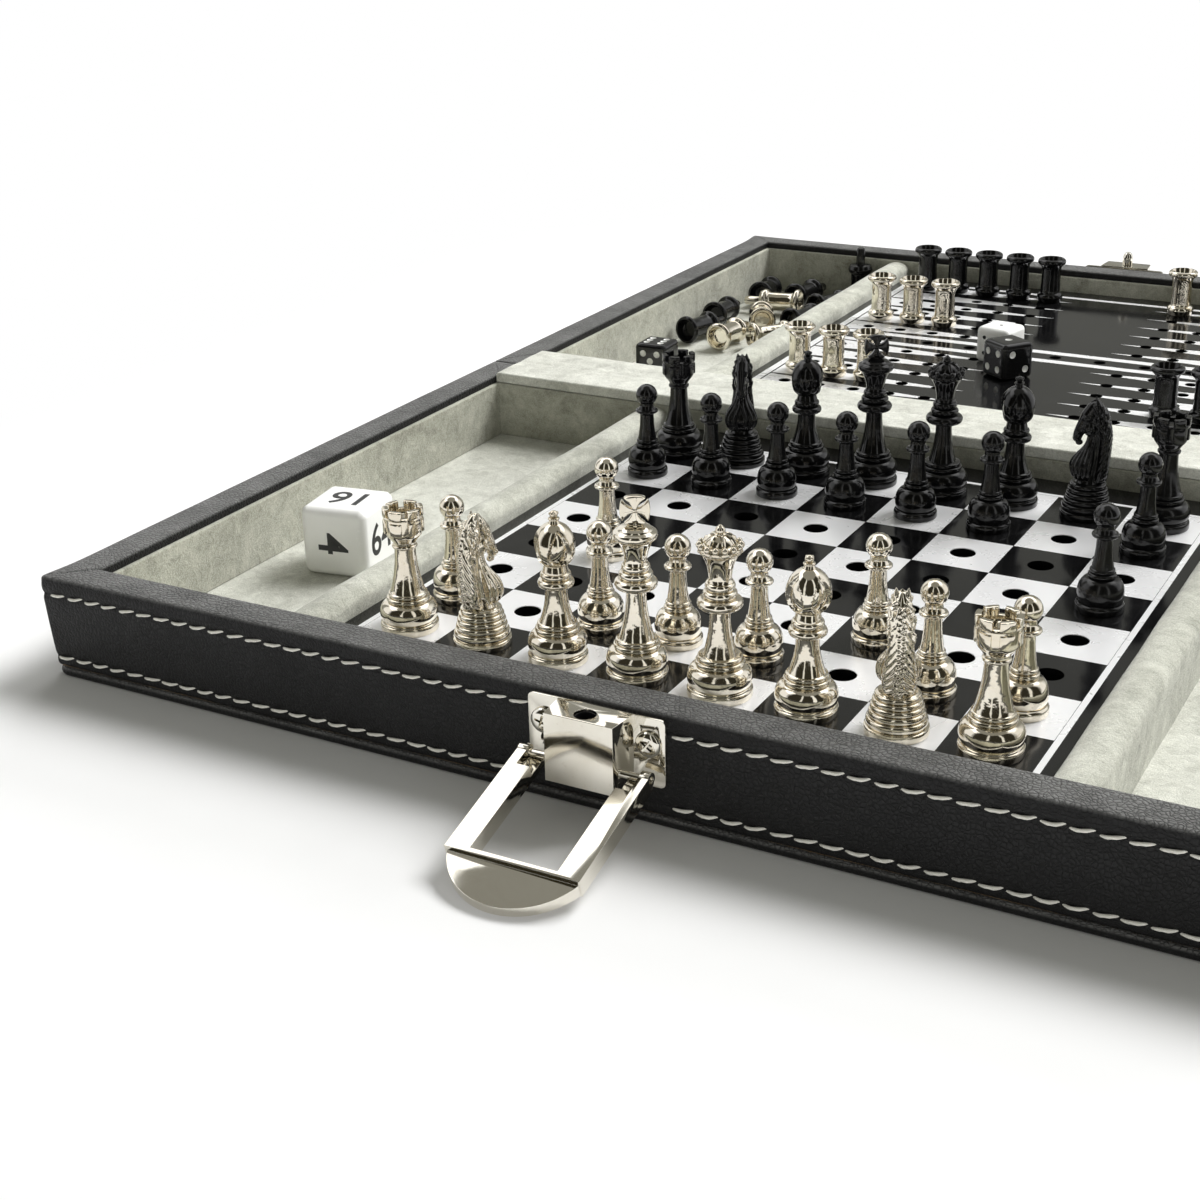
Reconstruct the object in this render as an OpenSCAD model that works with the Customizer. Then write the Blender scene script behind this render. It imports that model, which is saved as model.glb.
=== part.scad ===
// Games compendium box, open flat: two shallow trays joined along one edge by a
// lined hinge strip. The near tray holds a peg chess board, the far tray a peg
// backgammon board, each between two storage trays, with a drop-loop clasp.
// Millimetres. Origin: centre of the near tray's underside. X runs along the
// hinge, +Y goes from the clasp to the hinge and on to the far tray, +Z is up.

/* [Case] */
// Width of the case along the hinge
case_w = 305; // [280:1:330]
// Depth of one tray, from its outer edge to the hinge line
half_d = 206; // [200:1:215]
// Height of one tray
half_h = 26; // [25:0.5:28]
// Thickness of the three outer wall boards
wall_t = 7.6; // [6:0.1:9]
// Thickness of the wall board beside the hinge
hinge_wall_t = 11.6; // [10:0.1:13]
// Thickness of the covering leather
leather_t = 1; // [0.8:0.1:1.4]
// How far the leather turns down inside the rim
lip_drop = 2.4; // [1.5:0.1:3.5]
// Radius of the case's upright corners
corner_r = 2; // [1:0.5:4]
// Thickness of the covered base sheet that stands proud round the foot
base_t = 2.2; // [1.8:0.1:3]
// How far the base sheet stands proud of the walls
base_lip = 0.6; // [0:0.1:1]
// Radius of the base sheet's corners
base_corner_r = 5; // [2:0.5:6]
// Thickness of the wooden base panel
panel_t = 2.5; // [2:0.1:3.5]

/* [Lining] */
// Thickness of the lined floor card
floor_t = 1.8; // [1:0.1:2.5]
// Thickness of the lined wall cards
lining_t = 2.2; // [1.5:0.1:3]
// How far the wall cards stop below the rim
lining_drop = 2; // [1:0.1:3]
// Width of the bars between the boards and the storage trays
divider_w = 9.5; // [8:0.5:11]
// Height of the divider bars' crowns above the tray's underside
divider_top = 23.2; // [21:0.2:24]
// Thickness of the strip over the hinge
strip_t = 0.8; // [0.6:0.1:1]

/* [Boards] */
// Side of one chess square
cell = 20; // [20:0.5:20.5]
// Height of the boards' faces above the tray's underside
board_z = 18; // [17:0.5:19]
// Thickness of a board plate
plate_t = 1.5; // [1:0.1:2]
// Thickness of the silver areas of a board
inlay_t = 0.2; // [0.1:0.05:0.3]
// Distance of the boards' centre line from the case's centre line
board_dx = 4; // [0:1:4]
// Distance of the chess squares' centre from the near tray's centre
chess_dy = -4.5; // [-5:0.5:-3]
// Diameter of a peg hole for a chess man
man_hole_d = 6.5; // [6:0.1:7]
// Diameter of a peg hole for a counter
counter_hole_d = 4; // [3.5:0.1:4.5]
// Depth of the peg holes in the bed below a plate
hole_depth = 9; // [8.5:0.5:10]
// Width of the backgammon bar, with the two lines that edge it
bar_w = 13.6; // [12:0.2:16]
// Peg holes on each backgammon point
point_holes = 5; // [4:1:5]

/* [Clasp] */
// Width of the clasp plate
clasp_w = 32; // [30:1:34]
// Width of the clasp's block at its root
block_w = 17.6; // [16:0.2:18]
// How far the block stands out from the case
block_d = 8.6; // [8:0.2:9]
// Height of the loop's pivot above the tray's underside
pivot_z = 13.8; // [13.6:0.1:14.2]
// Distance of the loop's pivot from the case's wall
pivot_out = 6; // [5.8:0.1:6.2]
// Radius of the loop's pivot pin
pin_r = 0.8; // [0.7:0.05:1]
// Angle by which the loop droops from level at rest
loop_droop = 16; // [15:0.1:17]
// Distance from the pivot to the tab on the loop
loop_reach = 29.5; // [29:0.1:30]
// Outer width of the loop
loop_w = 30.6; // [30:0.1:31]
// Width of one leg of the loop
leg_w = 5.4; // [5:0.1:5.6]
// Thickness of the loop's legs
leg_t = 4; // [3:0.1:4]
// Height of the legs' top faces above the pivot
leg_top = 1.3; // [1.1:0.1:1.6]
// Depth of the loop's rounded tab
tab_d = 11; // [10:0.5:11]

/* [Men and counters] */
// Height of a king without its peg
king_h = 42; // [40:0.5:43]
// Height of a pawn without its peg
pawn_h = 26.2; // [25:0.2:28]
// Length of a man's peg
peg_l = 7.6; // [6:0.2:8]
// Height of a counter without its peg
counter_h = 16; // [14:0.5:17]
// Side of a die
die_a = 12; // [11:0.5:13]
// Side of the doubling cube
cube_a = 19; // [18:0.5:20]

/* [Hidden] */

$fn = 48;
eps = 0.01;
big = 1000;                                    // longer than anything here
hinge_y = half_d / 2;                          // the hinge line, where the trays meet
hinge_z = half_h + strip_t + 0.1;              // height of the fold's axis
split = 0.15;                                  // half the gap between the two trays
out_x = case_w / 2;                            // the case's side faces
out_y = half_d / 2;                            // the near tray's outer face is at -out_y
in_x = out_x - 2 * leather_t - wall_t;         // leather turned in at the sides
in_y = out_y - 2 * leather_t - wall_t;         // and at the outer wall
mid_y = out_y - split - 2 * leather_t - hinge_wall_t;        // and beside the hinge
floor_z = base_t + panel_t + floor_t;          // top of the trays' floor
lining_top = half_h - lining_drop;             // top of the lined wall cards
ledge = 1.2;                                   // how far the cards stand out below the lip
card_in_x = in_x - ledge;                      // faces of the lined cards
card_in_y = in_y - ledge;
card_mid_y = mid_y - ledge;
field = 8 * cell;                              // side of the playing field
bed_x = 85.5;                                  // half the width between the dividers
bed_mid = (card_mid_y - card_in_y) / 2;        // centre of the recess along Y
bed_y = (card_mid_y + card_in_y) / 2;          // half its length
far_field_y = 2 * hinge_y - bed_mid;           // centre of the backgammon field
point_pitch = (field - bar_w) / 12;            // backgammon points along Y
point_tip = 15;                                // tips' distance from the centre line
fit = 0.2;                                     // clearance between laid-in pieces
clasp_top = half_h - 1;                        // top of the clasp's plate and block
clasp_low = 9.6;
stud_out = 5.3;                                // stud and hole, from the case's wall
stud_r = 1.9;
screw_x = 12.3;                                // clasp screws, from the clasp's centre
screw_z = 19.2;
peg_r = man_hole_d / 2 - 0.3;
counter_peg_r = counter_hole_d / 2 - 0.3;
counter_r = 5.1;                               // widest radius, at its head
counter_pitch = 12;                            // peg holes along a point
bar_pitch = 15;                                // and along the bar

leather = [0.07, 0.07, 0.08];
suede = [0.72, 0.72, 0.67];
wood = [0.62, 0.5, 0.36];
nickel = [0.8, 0.78, 0.74];
silver = [0.86, 0.86, 0.88];
gloss_black = [0.05, 0.05, 0.055];

// ---- helpers ---------------------------------------------------------------

// Points on an ellipse's arc, for the outlines of turned pieces
function arc(cr, cz, ar, az, a0, a1, n = 6) =
  [for (i = [0 : n]) let (a = a0 + (a1 - a0) * i / n) [cr + ar * cos(a), cz + az * sin(a)]];

// A turned stem that narrows from r0 to r1 in a hollow curve
function stem(r0, z0, r1, z1, n = 5) =
  [for (i = [0 : n]) let (t = i / n) [r1 + (r0 - r1) * pow(1 - t, 2), z0 + (z1 - z0) * t]];

// A rounded ring of height h whose widest radius is r
function ring(r, z, h, d = 0.5) = [[r - d, z], [r, z + h * 0.35], [r, z + h * 0.65], [r - d, z + h]];

// Centre of a chess square, from its file and rank counted from 0
function square_at(i, j) = [board_dx + (i - 3.5) * cell, chess_dy + (j - 3.5) * cell, board_z];

// Peg hole k of the backgammon point at row j, side -1 or 1; rows count from the near end
function row_y(j) = (j - 5.5) * point_pitch + (j < 6 ? -1 : 1) * bar_w / 2;
function hole_at(side, j, k) =
  [board_dx + side * (field / 2 - 8 - k * counter_pitch), far_field_y + row_y(j), board_z];

// The far tray is the near one reflected in the hinge line
module far_side() {
  translate([0, 2 * hinge_y, 0]) mirror([0, 1, 0]) children();
}

// A block given by its lowest and highest corners
module block(a, b) {
  translate(a) cube(b - a);
}

// Upright block with rounded corners, between y0 and y1
module round_block(x, y0, y1, z0, z1, r) {
  translate([0, 0, z0]) linear_extrude(z1 - z0) union() {
    translate([-x + r, y0]) square([2 * (x - r), y1 - y0]);
    translate([-x, y0 + r]) square([2 * x, y1 - y0 - r]);
    for (sx = [-1, 1]) translate([sx * (x - r), y0 + r]) circle(r);
  }
}

// ---- one tray --------------------------------------------------------------

// Base sheet, covered like the walls, a little proud round the foot
module base_cover() {
  color(leather) difference() {
    round_block(out_x + base_lip, -out_y - base_lip, out_y - split, 0, base_t, base_corner_r);
    // the groove that sets the base off from the walls
    for (s = [-1, 1]) {
      translate([s * (out_x + base_lip + 0.2), 0, base_t]) rotate([0, 45, 0])
        cube([0.9, big, 0.9], center = true);
    }
    translate([0, -out_y - base_lip - 0.2, base_t]) rotate([45, 0, 0])
      cube([big, 0.9, 0.9], center = true);
  }
}

module base_panel() {
  color(wood) block([-out_x + leather_t + wall_t + fit, -out_y + leather_t + wall_t + fit, base_t],
                    [out_x - leather_t - wall_t - fit, out_y - split - leather_t - hinge_wall_t - fit,
                     base_t + panel_t]);
}

// Four wall boards, mitred where they meet
module wall_boards() {
  x = out_x - leather_t;
  y0 = -out_y + leather_t;
  y1 = out_y - split - leather_t;
  top = half_h - leather_t;
  module board(points) {
    translate([0, 0, base_t]) linear_extrude(top - base_t) polygon(points);
  }
  color(wood) difference() {
    union() {
      board([[-x, y0], [x, y0], [x - wall_t, y0 + wall_t], [-x + wall_t, y0 + wall_t]]);
      board([[-x, y1], [-x + wall_t, y1 - hinge_wall_t], [x - wall_t, y1 - hinge_wall_t], [x, y1]]);
      for (s = [-1, 1])
        board([[s * x, y0], [s * x, y1], [s * (x - wall_t), y1 - hinge_wall_t],
               [s * (x - wall_t), y0 + wall_t]]);
    }
    clasp_screw_holes(1.3, 12);
  }
}

// Leather over the walls' outer faces and the rim, turned down inside it
module leather_wrap() {
  color(leather) difference() {
    round_block(out_x, -out_y, out_y - split, base_t, half_h, corner_r);
    block([-out_x + leather_t, -out_y + leather_t, -eps],
          [out_x - leather_t, out_y - split - leather_t, half_h - leather_t]);
    block([-in_x, -in_y, 0], [in_x, mid_y, big]);
    clasp_screw_holes(1.4, 12);
  }
  color(leather) difference() {
    block([-in_x - leather_t, -in_y - leather_t, half_h - lip_drop],
          [in_x + leather_t, mid_y + leather_t, half_h - leather_t]);
    block([-in_x, -in_y, 0], [in_x, mid_y, big]);
  }
}

// Lined card on the floor of the whole tray
module floor_lining() {
  x = out_x - leather_t - wall_t - fit;
  color(suede) block([-x, -out_y + leather_t + wall_t + fit, base_t + panel_t],
                     [x, out_y - split - leather_t - hinge_wall_t - fit, floor_z]);
}

// Four lined cards round the walls, under the turned-in leather
module wall_lining() {
  x0 = out_x - leather_t - wall_t;
  y0 = -out_y + leather_t + wall_t;
  y1 = out_y - split - leather_t - hinge_wall_t;
  module card_from(a, b) {
    difference() {
      block(a, b);
      // relief for the leather lip
      block([-in_x - leather_t, -in_y - leather_t, half_h - lip_drop], [in_x + leather_t, y1 + 1, big]);
    }
  }
  color(suede) {
    card_from([-x0, y0, floor_z], [x0, -card_in_y, lining_top]);
    card_from([-x0, card_mid_y, floor_z], [x0, y1, lining_top]);
    for (s = [0, 1]) mirror([s, 0, 0])
      card_from([-x0, -card_in_y, floor_z], [-card_in_x, card_mid_y, lining_top]);
  }
}

// Covered bar between a board and a storage tray: a crown on a straight body
module divider(side) {
  r = divider_w / 2;
  crown = 2.6;
  x = board_dx + side * (bed_x + r);
  color(suede) translate([x, card_mid_y - fit, 0]) rotate([90, 0, 0])
    linear_extrude(card_mid_y + card_in_y - 2 * fit)
      polygon(concat([[-r, floor_z], [r, floor_z]],
                     arc(0, divider_top - crown, r, crown, 0, 180, 12)));
}

// Bed under a board, with the lower part of the peg holes
module board_bed() {
  color(gloss_black) block([board_dx - bed_x + fit, -card_in_y + fit, floor_z],
                           [board_dx + bed_x - fit, card_mid_y - fit, board_z - plate_t]);
}

module board_plate() {
  color(gloss_black) block([board_dx - bed_x + fit, -card_in_y + fit, board_z - plate_t],
                           [board_dx + bed_x - fit, card_mid_y - fit, board_z]);
}

// Half of the strip over the hinge, on the top of one tray's inner wall
module hinge_strip() {
  color(suede) block([-in_x, mid_y, half_h], [in_x, hinge_y - split, half_h + strip_t]);
}

// ---- chess board -----------------------------------------------------------

module chess_holes() {
  for (i = [0 : 7], j = [0 : 7])
    translate(square_at(i, j) - [0, 0, hole_depth]) cylinder(h = hole_depth + 1, d = man_hole_d);
}

// Every second square, the near-left one first, and the line round the field
module chess_pattern() {
  line_w = 1.5;
  seam = 0.05;
  translate([board_dx, chess_dy]) {
    for (i = [0 : 7], j = [0 : 7]) if ((i + j) % 2 == 0)
      translate([(i - 4) * cell + seam, (j - 4) * cell + seam]) square(cell - 2 * seam);
    difference() {
      square(field + 2 * line_w, center = true);
      square(field + 2 * seam, center = true);
    }
  }
}

module chess_plate() {
  color(gloss_black) difference() {
    board_plate();
    translate([0, 0, board_z - inlay_t]) linear_extrude(1) chess_pattern();
    chess_holes();
  }
}

// The silver areas, let in flush with the plate's face
module chess_silver() {
  color(silver) difference() {
    translate([0, 0, board_z - inlay_t]) linear_extrude(inlay_t) chess_pattern();
    chess_holes();
  }
}

// ---- backgammon board ------------------------------------------------------

module backgammon_holes() {
  for (side = [-1, 1], j = [0 : 11], k = [0 : point_holes - 1])
    translate(hole_at(side, j, k) - [0, 0, hole_depth])
      cylinder(h = hole_depth + 1, d = counter_hole_d);
  for (k = [-4 : 4])
    translate([board_dx + k * bar_pitch, far_field_y, board_z - hole_depth])
      cylinder(h = hole_depth + 1, d = counter_hole_d);
}

// Long points from both sides, the bar's two lines and the border
module backgammon_pattern() {
  border_w = 2.4;
  bar_line = 3.4;
  foot = point_pitch - 1;
  h = field / 2 - 0.6;
  translate([board_dx, far_field_y]) {
    for (side = [-1, 1], j = [0 : 11])
      translate([0, row_y(j)])
        polygon([[side * h, -foot / 2], [side * h, foot / 2], [side * point_tip, 0]]);
    for (s = [-1, 1])
      translate([0, s * (bar_w - bar_line) / 2]) square([2 * h, bar_line], center = true);
    difference() {
      square(field + 2 * border_w, center = true);
      square(field, center = true);
    }
  }
}

module backgammon_plate() {
  color(gloss_black) difference() {
    far_side() board_plate();
    translate([0, 0, board_z - inlay_t]) linear_extrude(1) backgammon_pattern();
    backgammon_holes();
  }
}

module backgammon_silver() {
  color(silver) difference() {
    translate([0, 0, board_z - inlay_t]) linear_extrude(inlay_t) backgammon_pattern();
    backgammon_holes();
  }
}

// ---- clasp and keeper ------------------------------------------------------

// Upright plate with rounded corners against the outer wall
module clasp_plate(z0, z1, w) {
  r = 1.2;
  t = 1.2;
  translate([0, -out_y, 0]) rotate([90, 0, 0]) linear_extrude(t) union() {
    translate([-w / 2 + r, z0]) square([w - 2 * r, z1 - z0]);
    translate([-w / 2, z0 + r]) square([w, z1 - z0 - 2 * r]);
    for (sx = [-1, 1], z = [z0 + r, z1 - r]) translate([sx * (w / 2 - r), z]) circle(r);
  }
}

// Block cast on the plate: narrower towards its front face
module clasp_block(z0, z1) {
  front = block_w / 2 - 0.8;
  translate([0, -out_y, z0]) linear_extrude(z1 - z0)
    polygon([[-block_w / 2, -1], [block_w / 2, -1], [front, -block_d], [-front, -block_d]]);
}

module clasp_screw_holes(r, depth) {
  for (s = [-1, 1]) translate([s * screw_x, -out_y - 2, screw_z]) rotate([-90, 0, 0])
    cylinder(h = depth, r = r);
}

module clasp_body() {
  color(nickel) difference() {
    union() {
      clasp_plate(clasp_low, clasp_top, clasp_w);
      clasp_block(clasp_low, clasp_top);
    }
    clasp_screw_holes(1.5, 12);
    // seat of the stud when the case is shut
    translate([0, -out_y - stud_out, clasp_top - 8]) cylinder(h = 9, r = stud_r + 0.5);
    // pin's bore
    translate([-block_w, -out_y - pivot_out, pivot_z]) rotate([0, 90, 0])
      cylinder(h = 2 * block_w, r = pin_r);
  }
}

// Pan-head screws with crossed slots
module screws() {
  head = [[0, 1.4], [1.4, 1.35], [2.3, 1.1], [2.75, 0.6], [2.9, 0], [1.25, 0], [1.25, -7.5], [0, -8.6]];
  color(nickel) for (s = [-1, 1])
    translate([s * screw_x, -out_y - 1.2, screw_z]) rotate([90, 0, 0]) difference() {
      rotate_extrude() polygon(head);
      for (a = [20, 110]) rotate(a) translate([-1.6, -0.3, 0.7]) cube([3.2, 0.6, 1]);
    }
}

module clasp_pin() {
  l = loop_w - 0.6;
  color(nickel) translate([-l / 2, -out_y - pivot_out, pivot_z]) rotate([0, 90, 0])
    cylinder(h = l, r = pin_r);
}

// The loop: two deep legs with eyes, and a rounded tab whose face is a step lower.
// Beside the block each leg's inner part is cut down below the pin.
module clasp_loop() {
  step = 1.2;
  tab_t = leg_t - step;
  half = loop_w / 2;
  tab_r = (half * half + tab_d * tab_d) / (2 * tab_d);
  eye_r = 1.65;
  notch = [3.2, 5.2, leg_top + 1];
  color(nickel) translate([0, -out_y - pivot_out, pivot_z]) rotate([loop_droop, 0, 0]) difference() {
    union() {
      for (s = [-1, 1]) translate([s * (half - leg_w / 2), 0, 0]) {
        translate([-leg_w / 2, -loop_reach - 1.2, leg_top - leg_t]) cube([leg_w, loop_reach + 1.2, leg_t]);
        translate([-leg_w / 2, 0, 0]) rotate([0, 90, 0]) cylinder(h = leg_w, r = eye_r);
      }
      // cross bar that joins the legs to the tab
      translate([-half, -loop_reach - 1.2, leg_top - leg_t]) cube([loop_w, 1.2, leg_t]);
      // the tab, a slice of a disc
      translate([0, -loop_reach - tab_d + tab_r, leg_top - leg_t]) intersection() {
        cylinder(h = tab_t, r = tab_r, $fn = 96);
        translate([-half, -tab_r, 0]) cube([loop_w, tab_d, tab_t]);
      }
    }
    for (s = [0, 1]) mirror([s, 0, 0])
      translate([half - leg_w - 1, -notch[1], leg_top - notch[2]])
        cube([notch[0] + 1, notch[1] + 3, notch[2] + 1]);
    translate([-half - 1, 0, 0]) rotate([0, 90, 0]) cylinder(h = loop_w + 2, r = pin_r + 0.05);
  }
}

keeper_low = clasp_low + 2;
keeper_top = half_h + 0.6;

module keeper_body() {
  color(nickel) far_side() difference() {
    union() {
      clasp_plate(keeper_low, half_h + 0.2, clasp_w - 2.5);
      clasp_block(keeper_low, keeper_top);
    }
    clasp_screw_holes(1.5, 12);
    translate([0, -out_y - stud_out, keeper_top - 5]) cylinder(h = 6, r = stud_r - 0.4);
  }
}

// Stud with a rounded cone tip, riveted into the keeper
module keeper_stud() {
  color(nickel) far_side() translate([0, -out_y - stud_out, keeper_top])
    rotate_extrude() polygon(concat([[0, -5], [stud_r - 0.4, -5], [stud_r - 0.4, 0], [stud_r, 0],
                                     [stud_r, 2.2]], arc(0, 4.2, 0.6, 0.6, 0, 90, 4)));
}

// ---- chess men -------------------------------------------------------------

// Foot of a man, up to the ring under the stem: base, swelling and two beads
function foot(r) = concat(
  [[r - 0.2, 0], [r, 0.3], [r, 1.5], [r - 0.45, 1.95], [r - 0.45, 2.3]],
  arc(r - 2.2, 4.3, 2.1, 2.8, -42, 76, 7),
  ring(r - 1.75, 7.2, 1, 0.35), ring(r - 2.25, 8.3, 0.9, 0.3));

// Peg, with a small lead-in
module peg(r, l) {
  rotate_extrude() polygon([[0, -l], [r - 0.5, -l], [r, -l + 0.8], [r, 0.5], [0, 0.5]]);
}

// Solid turned from an outline that starts and ends off the axis
module turned(points) {
  rotate_extrude($fn = 64) polygon(concat([[0, 0]], points, [[0, points[len(points) - 1][1]]]));
}

module king() {
  k = king_h / 42;
  peg(peg_r, peg_l);
  scale(k) {
    turned(concat(foot(6.9), stem(3.9, 9.5, 2.2, 20.4), ring(4.7, 20.9, 2.3, 1.1), ring(3.7, 23.5, 1.4),
                  ring(3.15, 25.4, 1.3), [[2.5, 27.2], [2.6, 28.6], [3, 30], [3.5, 31.2], [4.1, 32.2]],
                  ring(4.8, 32.4, 1.8, 0.5), arc(0, 34.2, 4, 1.4, 8, 70, 4)));
    // flared cross with narrow gaps, on a short stalk
    translate([0, 0, 35]) cylinder(h = 1.6, r = 1.2);
    translate([0, 0.85, 38.75]) rotate([90, 0, 0]) linear_extrude(1.7) intersection() {
      circle(3.25);
      for (a = [0 : 90 : 270]) rotate(a) polygon([[-0.55, 0], [0.55, 0], [2.75, 4], [-2.75, 4]]);
    }
  }
}

module queen() {
  peg(peg_r, peg_l);
  difference() {
    turned(concat(foot(7.1), stem(3.7, 9.5, 2.15, 19.5), ring(4.9, 20, 2.5, 1.1), ring(3.7, 22.8, 1.4),
                  ring(3.3, 24.7, 1.3), [[2.5, 26.5], [2.55, 28], [2.9, 29.6], [3.5, 31.2], [4.3, 32.6]],
                  ring(4.75, 32.7, 2, 0.4), arc(0, 34.2, 3.5, 2.6, 12, 70, 5)));
    // notches between the crown's points
    for (a = [0 : 45 : 315]) rotate(a) translate([5.2, 0, 35]) rotate([0, -70, 0])
      cylinder(h = 4, r = 0.95, center = true);
  }
  translate([0, 0, 37.3]) sphere(r = 1.2);
}

module bishop() {
  peg(peg_r, peg_l);
  difference() {
    turned(concat(foot(6.8), stem(3.95, 9.5, 2.45, 17.3), ring(4.1, 17.7, 1.9, 0.8), ring(3.4, 19.9, 1.3),
                  [[2.9, 21.5]], arc(0, 27, 4.5, 4.9, -56, 0, 5), arc(0, 27, 4.5, 6.6, 8, 76, 7)));
    // four hollows in the mitre, with ridges between them
    for (a = [45 : 90 : 315]) rotate(a) translate([6.8, 0, 27.2]) sphere(r = 3.1);
  }
  translate([0, 0, 34.1]) sphere(r = 1.15);
}

module rook() {
  peg(peg_r, peg_l);
  difference() {
    turned(concat(foot(6.8), stem(4.1, 9.5, 2.45, 20), ring(2.95, 20.2, 0.9), [[2.6, 21.3], [3.1, 22.1]],
                  arc(3, 25.6, 1.6, 3, -70, 0, 5), [[4.7, 26.6], [4.75, 29.4], [4.5, 29.9]]));
    translate([0, 0, 27.4]) cylinder(h = 4, r = 3.4);
    // gaps between the battlements
    for (a = [0 : 60 : 300]) rotate(a) translate([0, -0.8, 28.4]) cube([8, 1.6, 4]);
  }
}

module pawn() {
  k = pawn_h / 26.2;
  peg(peg_r, peg_l);
  scale(k) turned(concat(
    [[5.5, 0], [5.7, 0.3], [5.7, 1.5], [5.3, 1.9], [5.3, 2.2]],
    arc(3.1, 4.4, 2.35, 3.7, -36, 82, 7),
    ring(3.25, 8.3, 1, 0.35), ring(2.95, 9.5, 0.9, 0.3), stem(2.6, 10.5, 1.9, 17.6),
    ring(3.1, 18, 1.4, 0.7), [[2, 19.9]], arc(0, 23.2, 3, 3, -50, 84, 9)));
}

// Horse's head: a side outline cut by a front outline, on a ringed foot
module knight() {
  peg(peg_r, peg_l);
  turned(concat([[6.6, 0], [6.8, 0.3], [6.8, 1.4]], ring(6.5, 1.9, 1.4, 0.35),
                ring(6.1, 3.7, 1.3, 0.35), ring(5.7, 5.3, 1.2, 0.35), ring(5.2, 6.8, 1.1, 0.35),
                ring(4.7, 8.2, 1, 0.35)));
  intersection() {
    translate([0, 4.6, 0]) rotate([90, 0, 0]) linear_extrude(9.2) polygon(concat(
      [[-3.9, 9], [-4.6, 12.5], [-4.8, 17], [-4.8, 21.5], [-4.4, 25], [-3.6, 28], [-2.6, 30.2],
       [-0.9, 31.8], [0.6, 31.3], [1.4, 30], [3, 27.8], [3.5, 25.6], [4.4, 23.4]],
      arc(3.7, 21.6, 1.1, 1.4, 30, -60, 4), [[3.6, 19.3], [2.7, 18.8], [1.9, 19.2]],
      arc(1.1, 14.2, 3.5, 3.6, 60, -45, 5), [[3.9, 9]]));
    rotate([90, 0, 90]) linear_extrude(20, center = true) polygon(concat(
      [[-4, 8.8], [4, 8.8]], arc(0, 13, 4.4, 9, -10, 60, 5), arc(0, 26, 2.3, 3.2, -20, 56, 4),
      [[1.2, 32], [0.4, 31.2], [-0.4, 31.2], [-1.2, 32]],
      arc(0, 26, 2.3, 3.2, 124, 200, 4), arc(0, 13, 4.4, 9, 120, 190, 5)));
  }
}

// Men of one kind on their squares, given as file, rank and turn
module men(squares, tint) {
  color(tint) for (s = squares) translate(square_at(s[0], s[1])) rotate(s[2]) children();
}

// ---- counters, dice and cube -----------------------------------------------

// Spool-shaped counter: flared head with a cup in it, waist, rounded foot and peg
module counter() {
  h = counter_h;
  difference() {
    turned(concat([[3.9, 0], [4.3, 0.6]], arc(3.7, 1.9, 1, 1.3, -30, 70, 4),
                  [[3.6, 3.6], [3.5, h - 3.4], [4.2, h - 2.6], [4.9, h - 2], [counter_r, h - 1.2],
                   [4.9, h - 0.2], [4.6, h]]));
    translate([0, 0, h - 3]) cylinder(h = 4, r1 = 2.9, r2 = 3.9);
  }
  peg(counter_peg_r, peg_l - 1);
}

// Row of counters from the foot of a point
module counter_row(side, j, count, tint) {
  color(tint) for (k = [0 : count - 1]) translate(hole_at(side, j, k)) counter();
}

// Counters lying on the tray's floor, each given as x, y and turn
module lying(places, tint) {
  lean = 1.6;                                  // the foot is thinner than the head
  color(tint) for (p = places) translate([p[0], p[1], floor_z + counter_r]) rotate([0, 0, p[2]])
    rotate([90 - lean, 0, 0]) translate([0, 0, -counter_h / 2]) counter();
}

// Cube standing on the point given, its corners rounded by a sphere
module cube_block(a, r) {
  intersection() {
    translate([0, 0, a / 2]) cube(a, center = true);
    translate([0, 0, a / 2]) sphere(r = a * 0.5 * sqrt(3) * r, $fn = 64);
  }
}

// Spots of one die face, on a grid of -1, 0 and 1
function spots(n) = concat(
  n % 2 == 1 ? [[0, 0]] : [], n > 1 ? [[-1, 1], [1, -1]] : [], n > 3 ? [[-1, -1], [1, 1]] : [],
  n == 6 ? [[-1, 0], [1, 0]] : []);

// A die; faces are given as top, front, right, back, left and bottom
module die(tint, faces, spot_r) {
  a = die_a;
  turns = [[0, 0, 0], [90, 0, 0], [90, 0, 90], [90, 0, 180], [90, 0, 270], [180, 0, 0]];
  color(tint) difference() {
    cube_block(a, 0.86);
    translate([0, 0, a / 2]) for (f = [0 : 5]) rotate([0, 0, turns[f][2]]) rotate([turns[f][0], 0, 0])
      for (p = spots(faces[f])) translate([p[0] * a * 0.22, p[1] * a * 0.22, a / 2 - 0.5])
        cylinder(h = 1, r = spot_r);
  }
}

// ---- nodes -----------------------------------------------------------------

module near_base_cover() { base_cover(); }
module near_base_panel() { base_panel(); }
module near_wall_boards() { wall_boards(); }
module near_leather_wrap() { leather_wrap(); }
module near_floor_lining() { floor_lining(); }
module near_wall_lining() { wall_lining(); }
module near_left_divider() { divider(-1); }
module near_right_divider() { divider(1); }
module near_board_bed() {
  color(gloss_black) difference() {
    board_bed();
    chess_holes();
  }
}
module near_hinge_strip() { hinge_strip(); }
module clasp_screws() { screws(); }
module far_base_cover() { far_side() base_cover(); }
module far_base_panel() { far_side() base_panel(); }
module far_wall_boards() { far_side() wall_boards(); }
module far_leather_wrap() { far_side() leather_wrap(); }
module far_floor_lining() { far_side() floor_lining(); }
module far_wall_lining() { far_side() wall_lining(); }
module far_left_divider() { far_side() divider(-1); }
module far_right_divider() { far_side() divider(1); }
module far_board_bed() {
  color(gloss_black) difference() {
    far_side() board_bed();
    backgammon_holes();
  }
}
module far_hinge_strip() { far_side() hinge_strip(); }
module keeper_screws() { far_side() screws(); }

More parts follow.
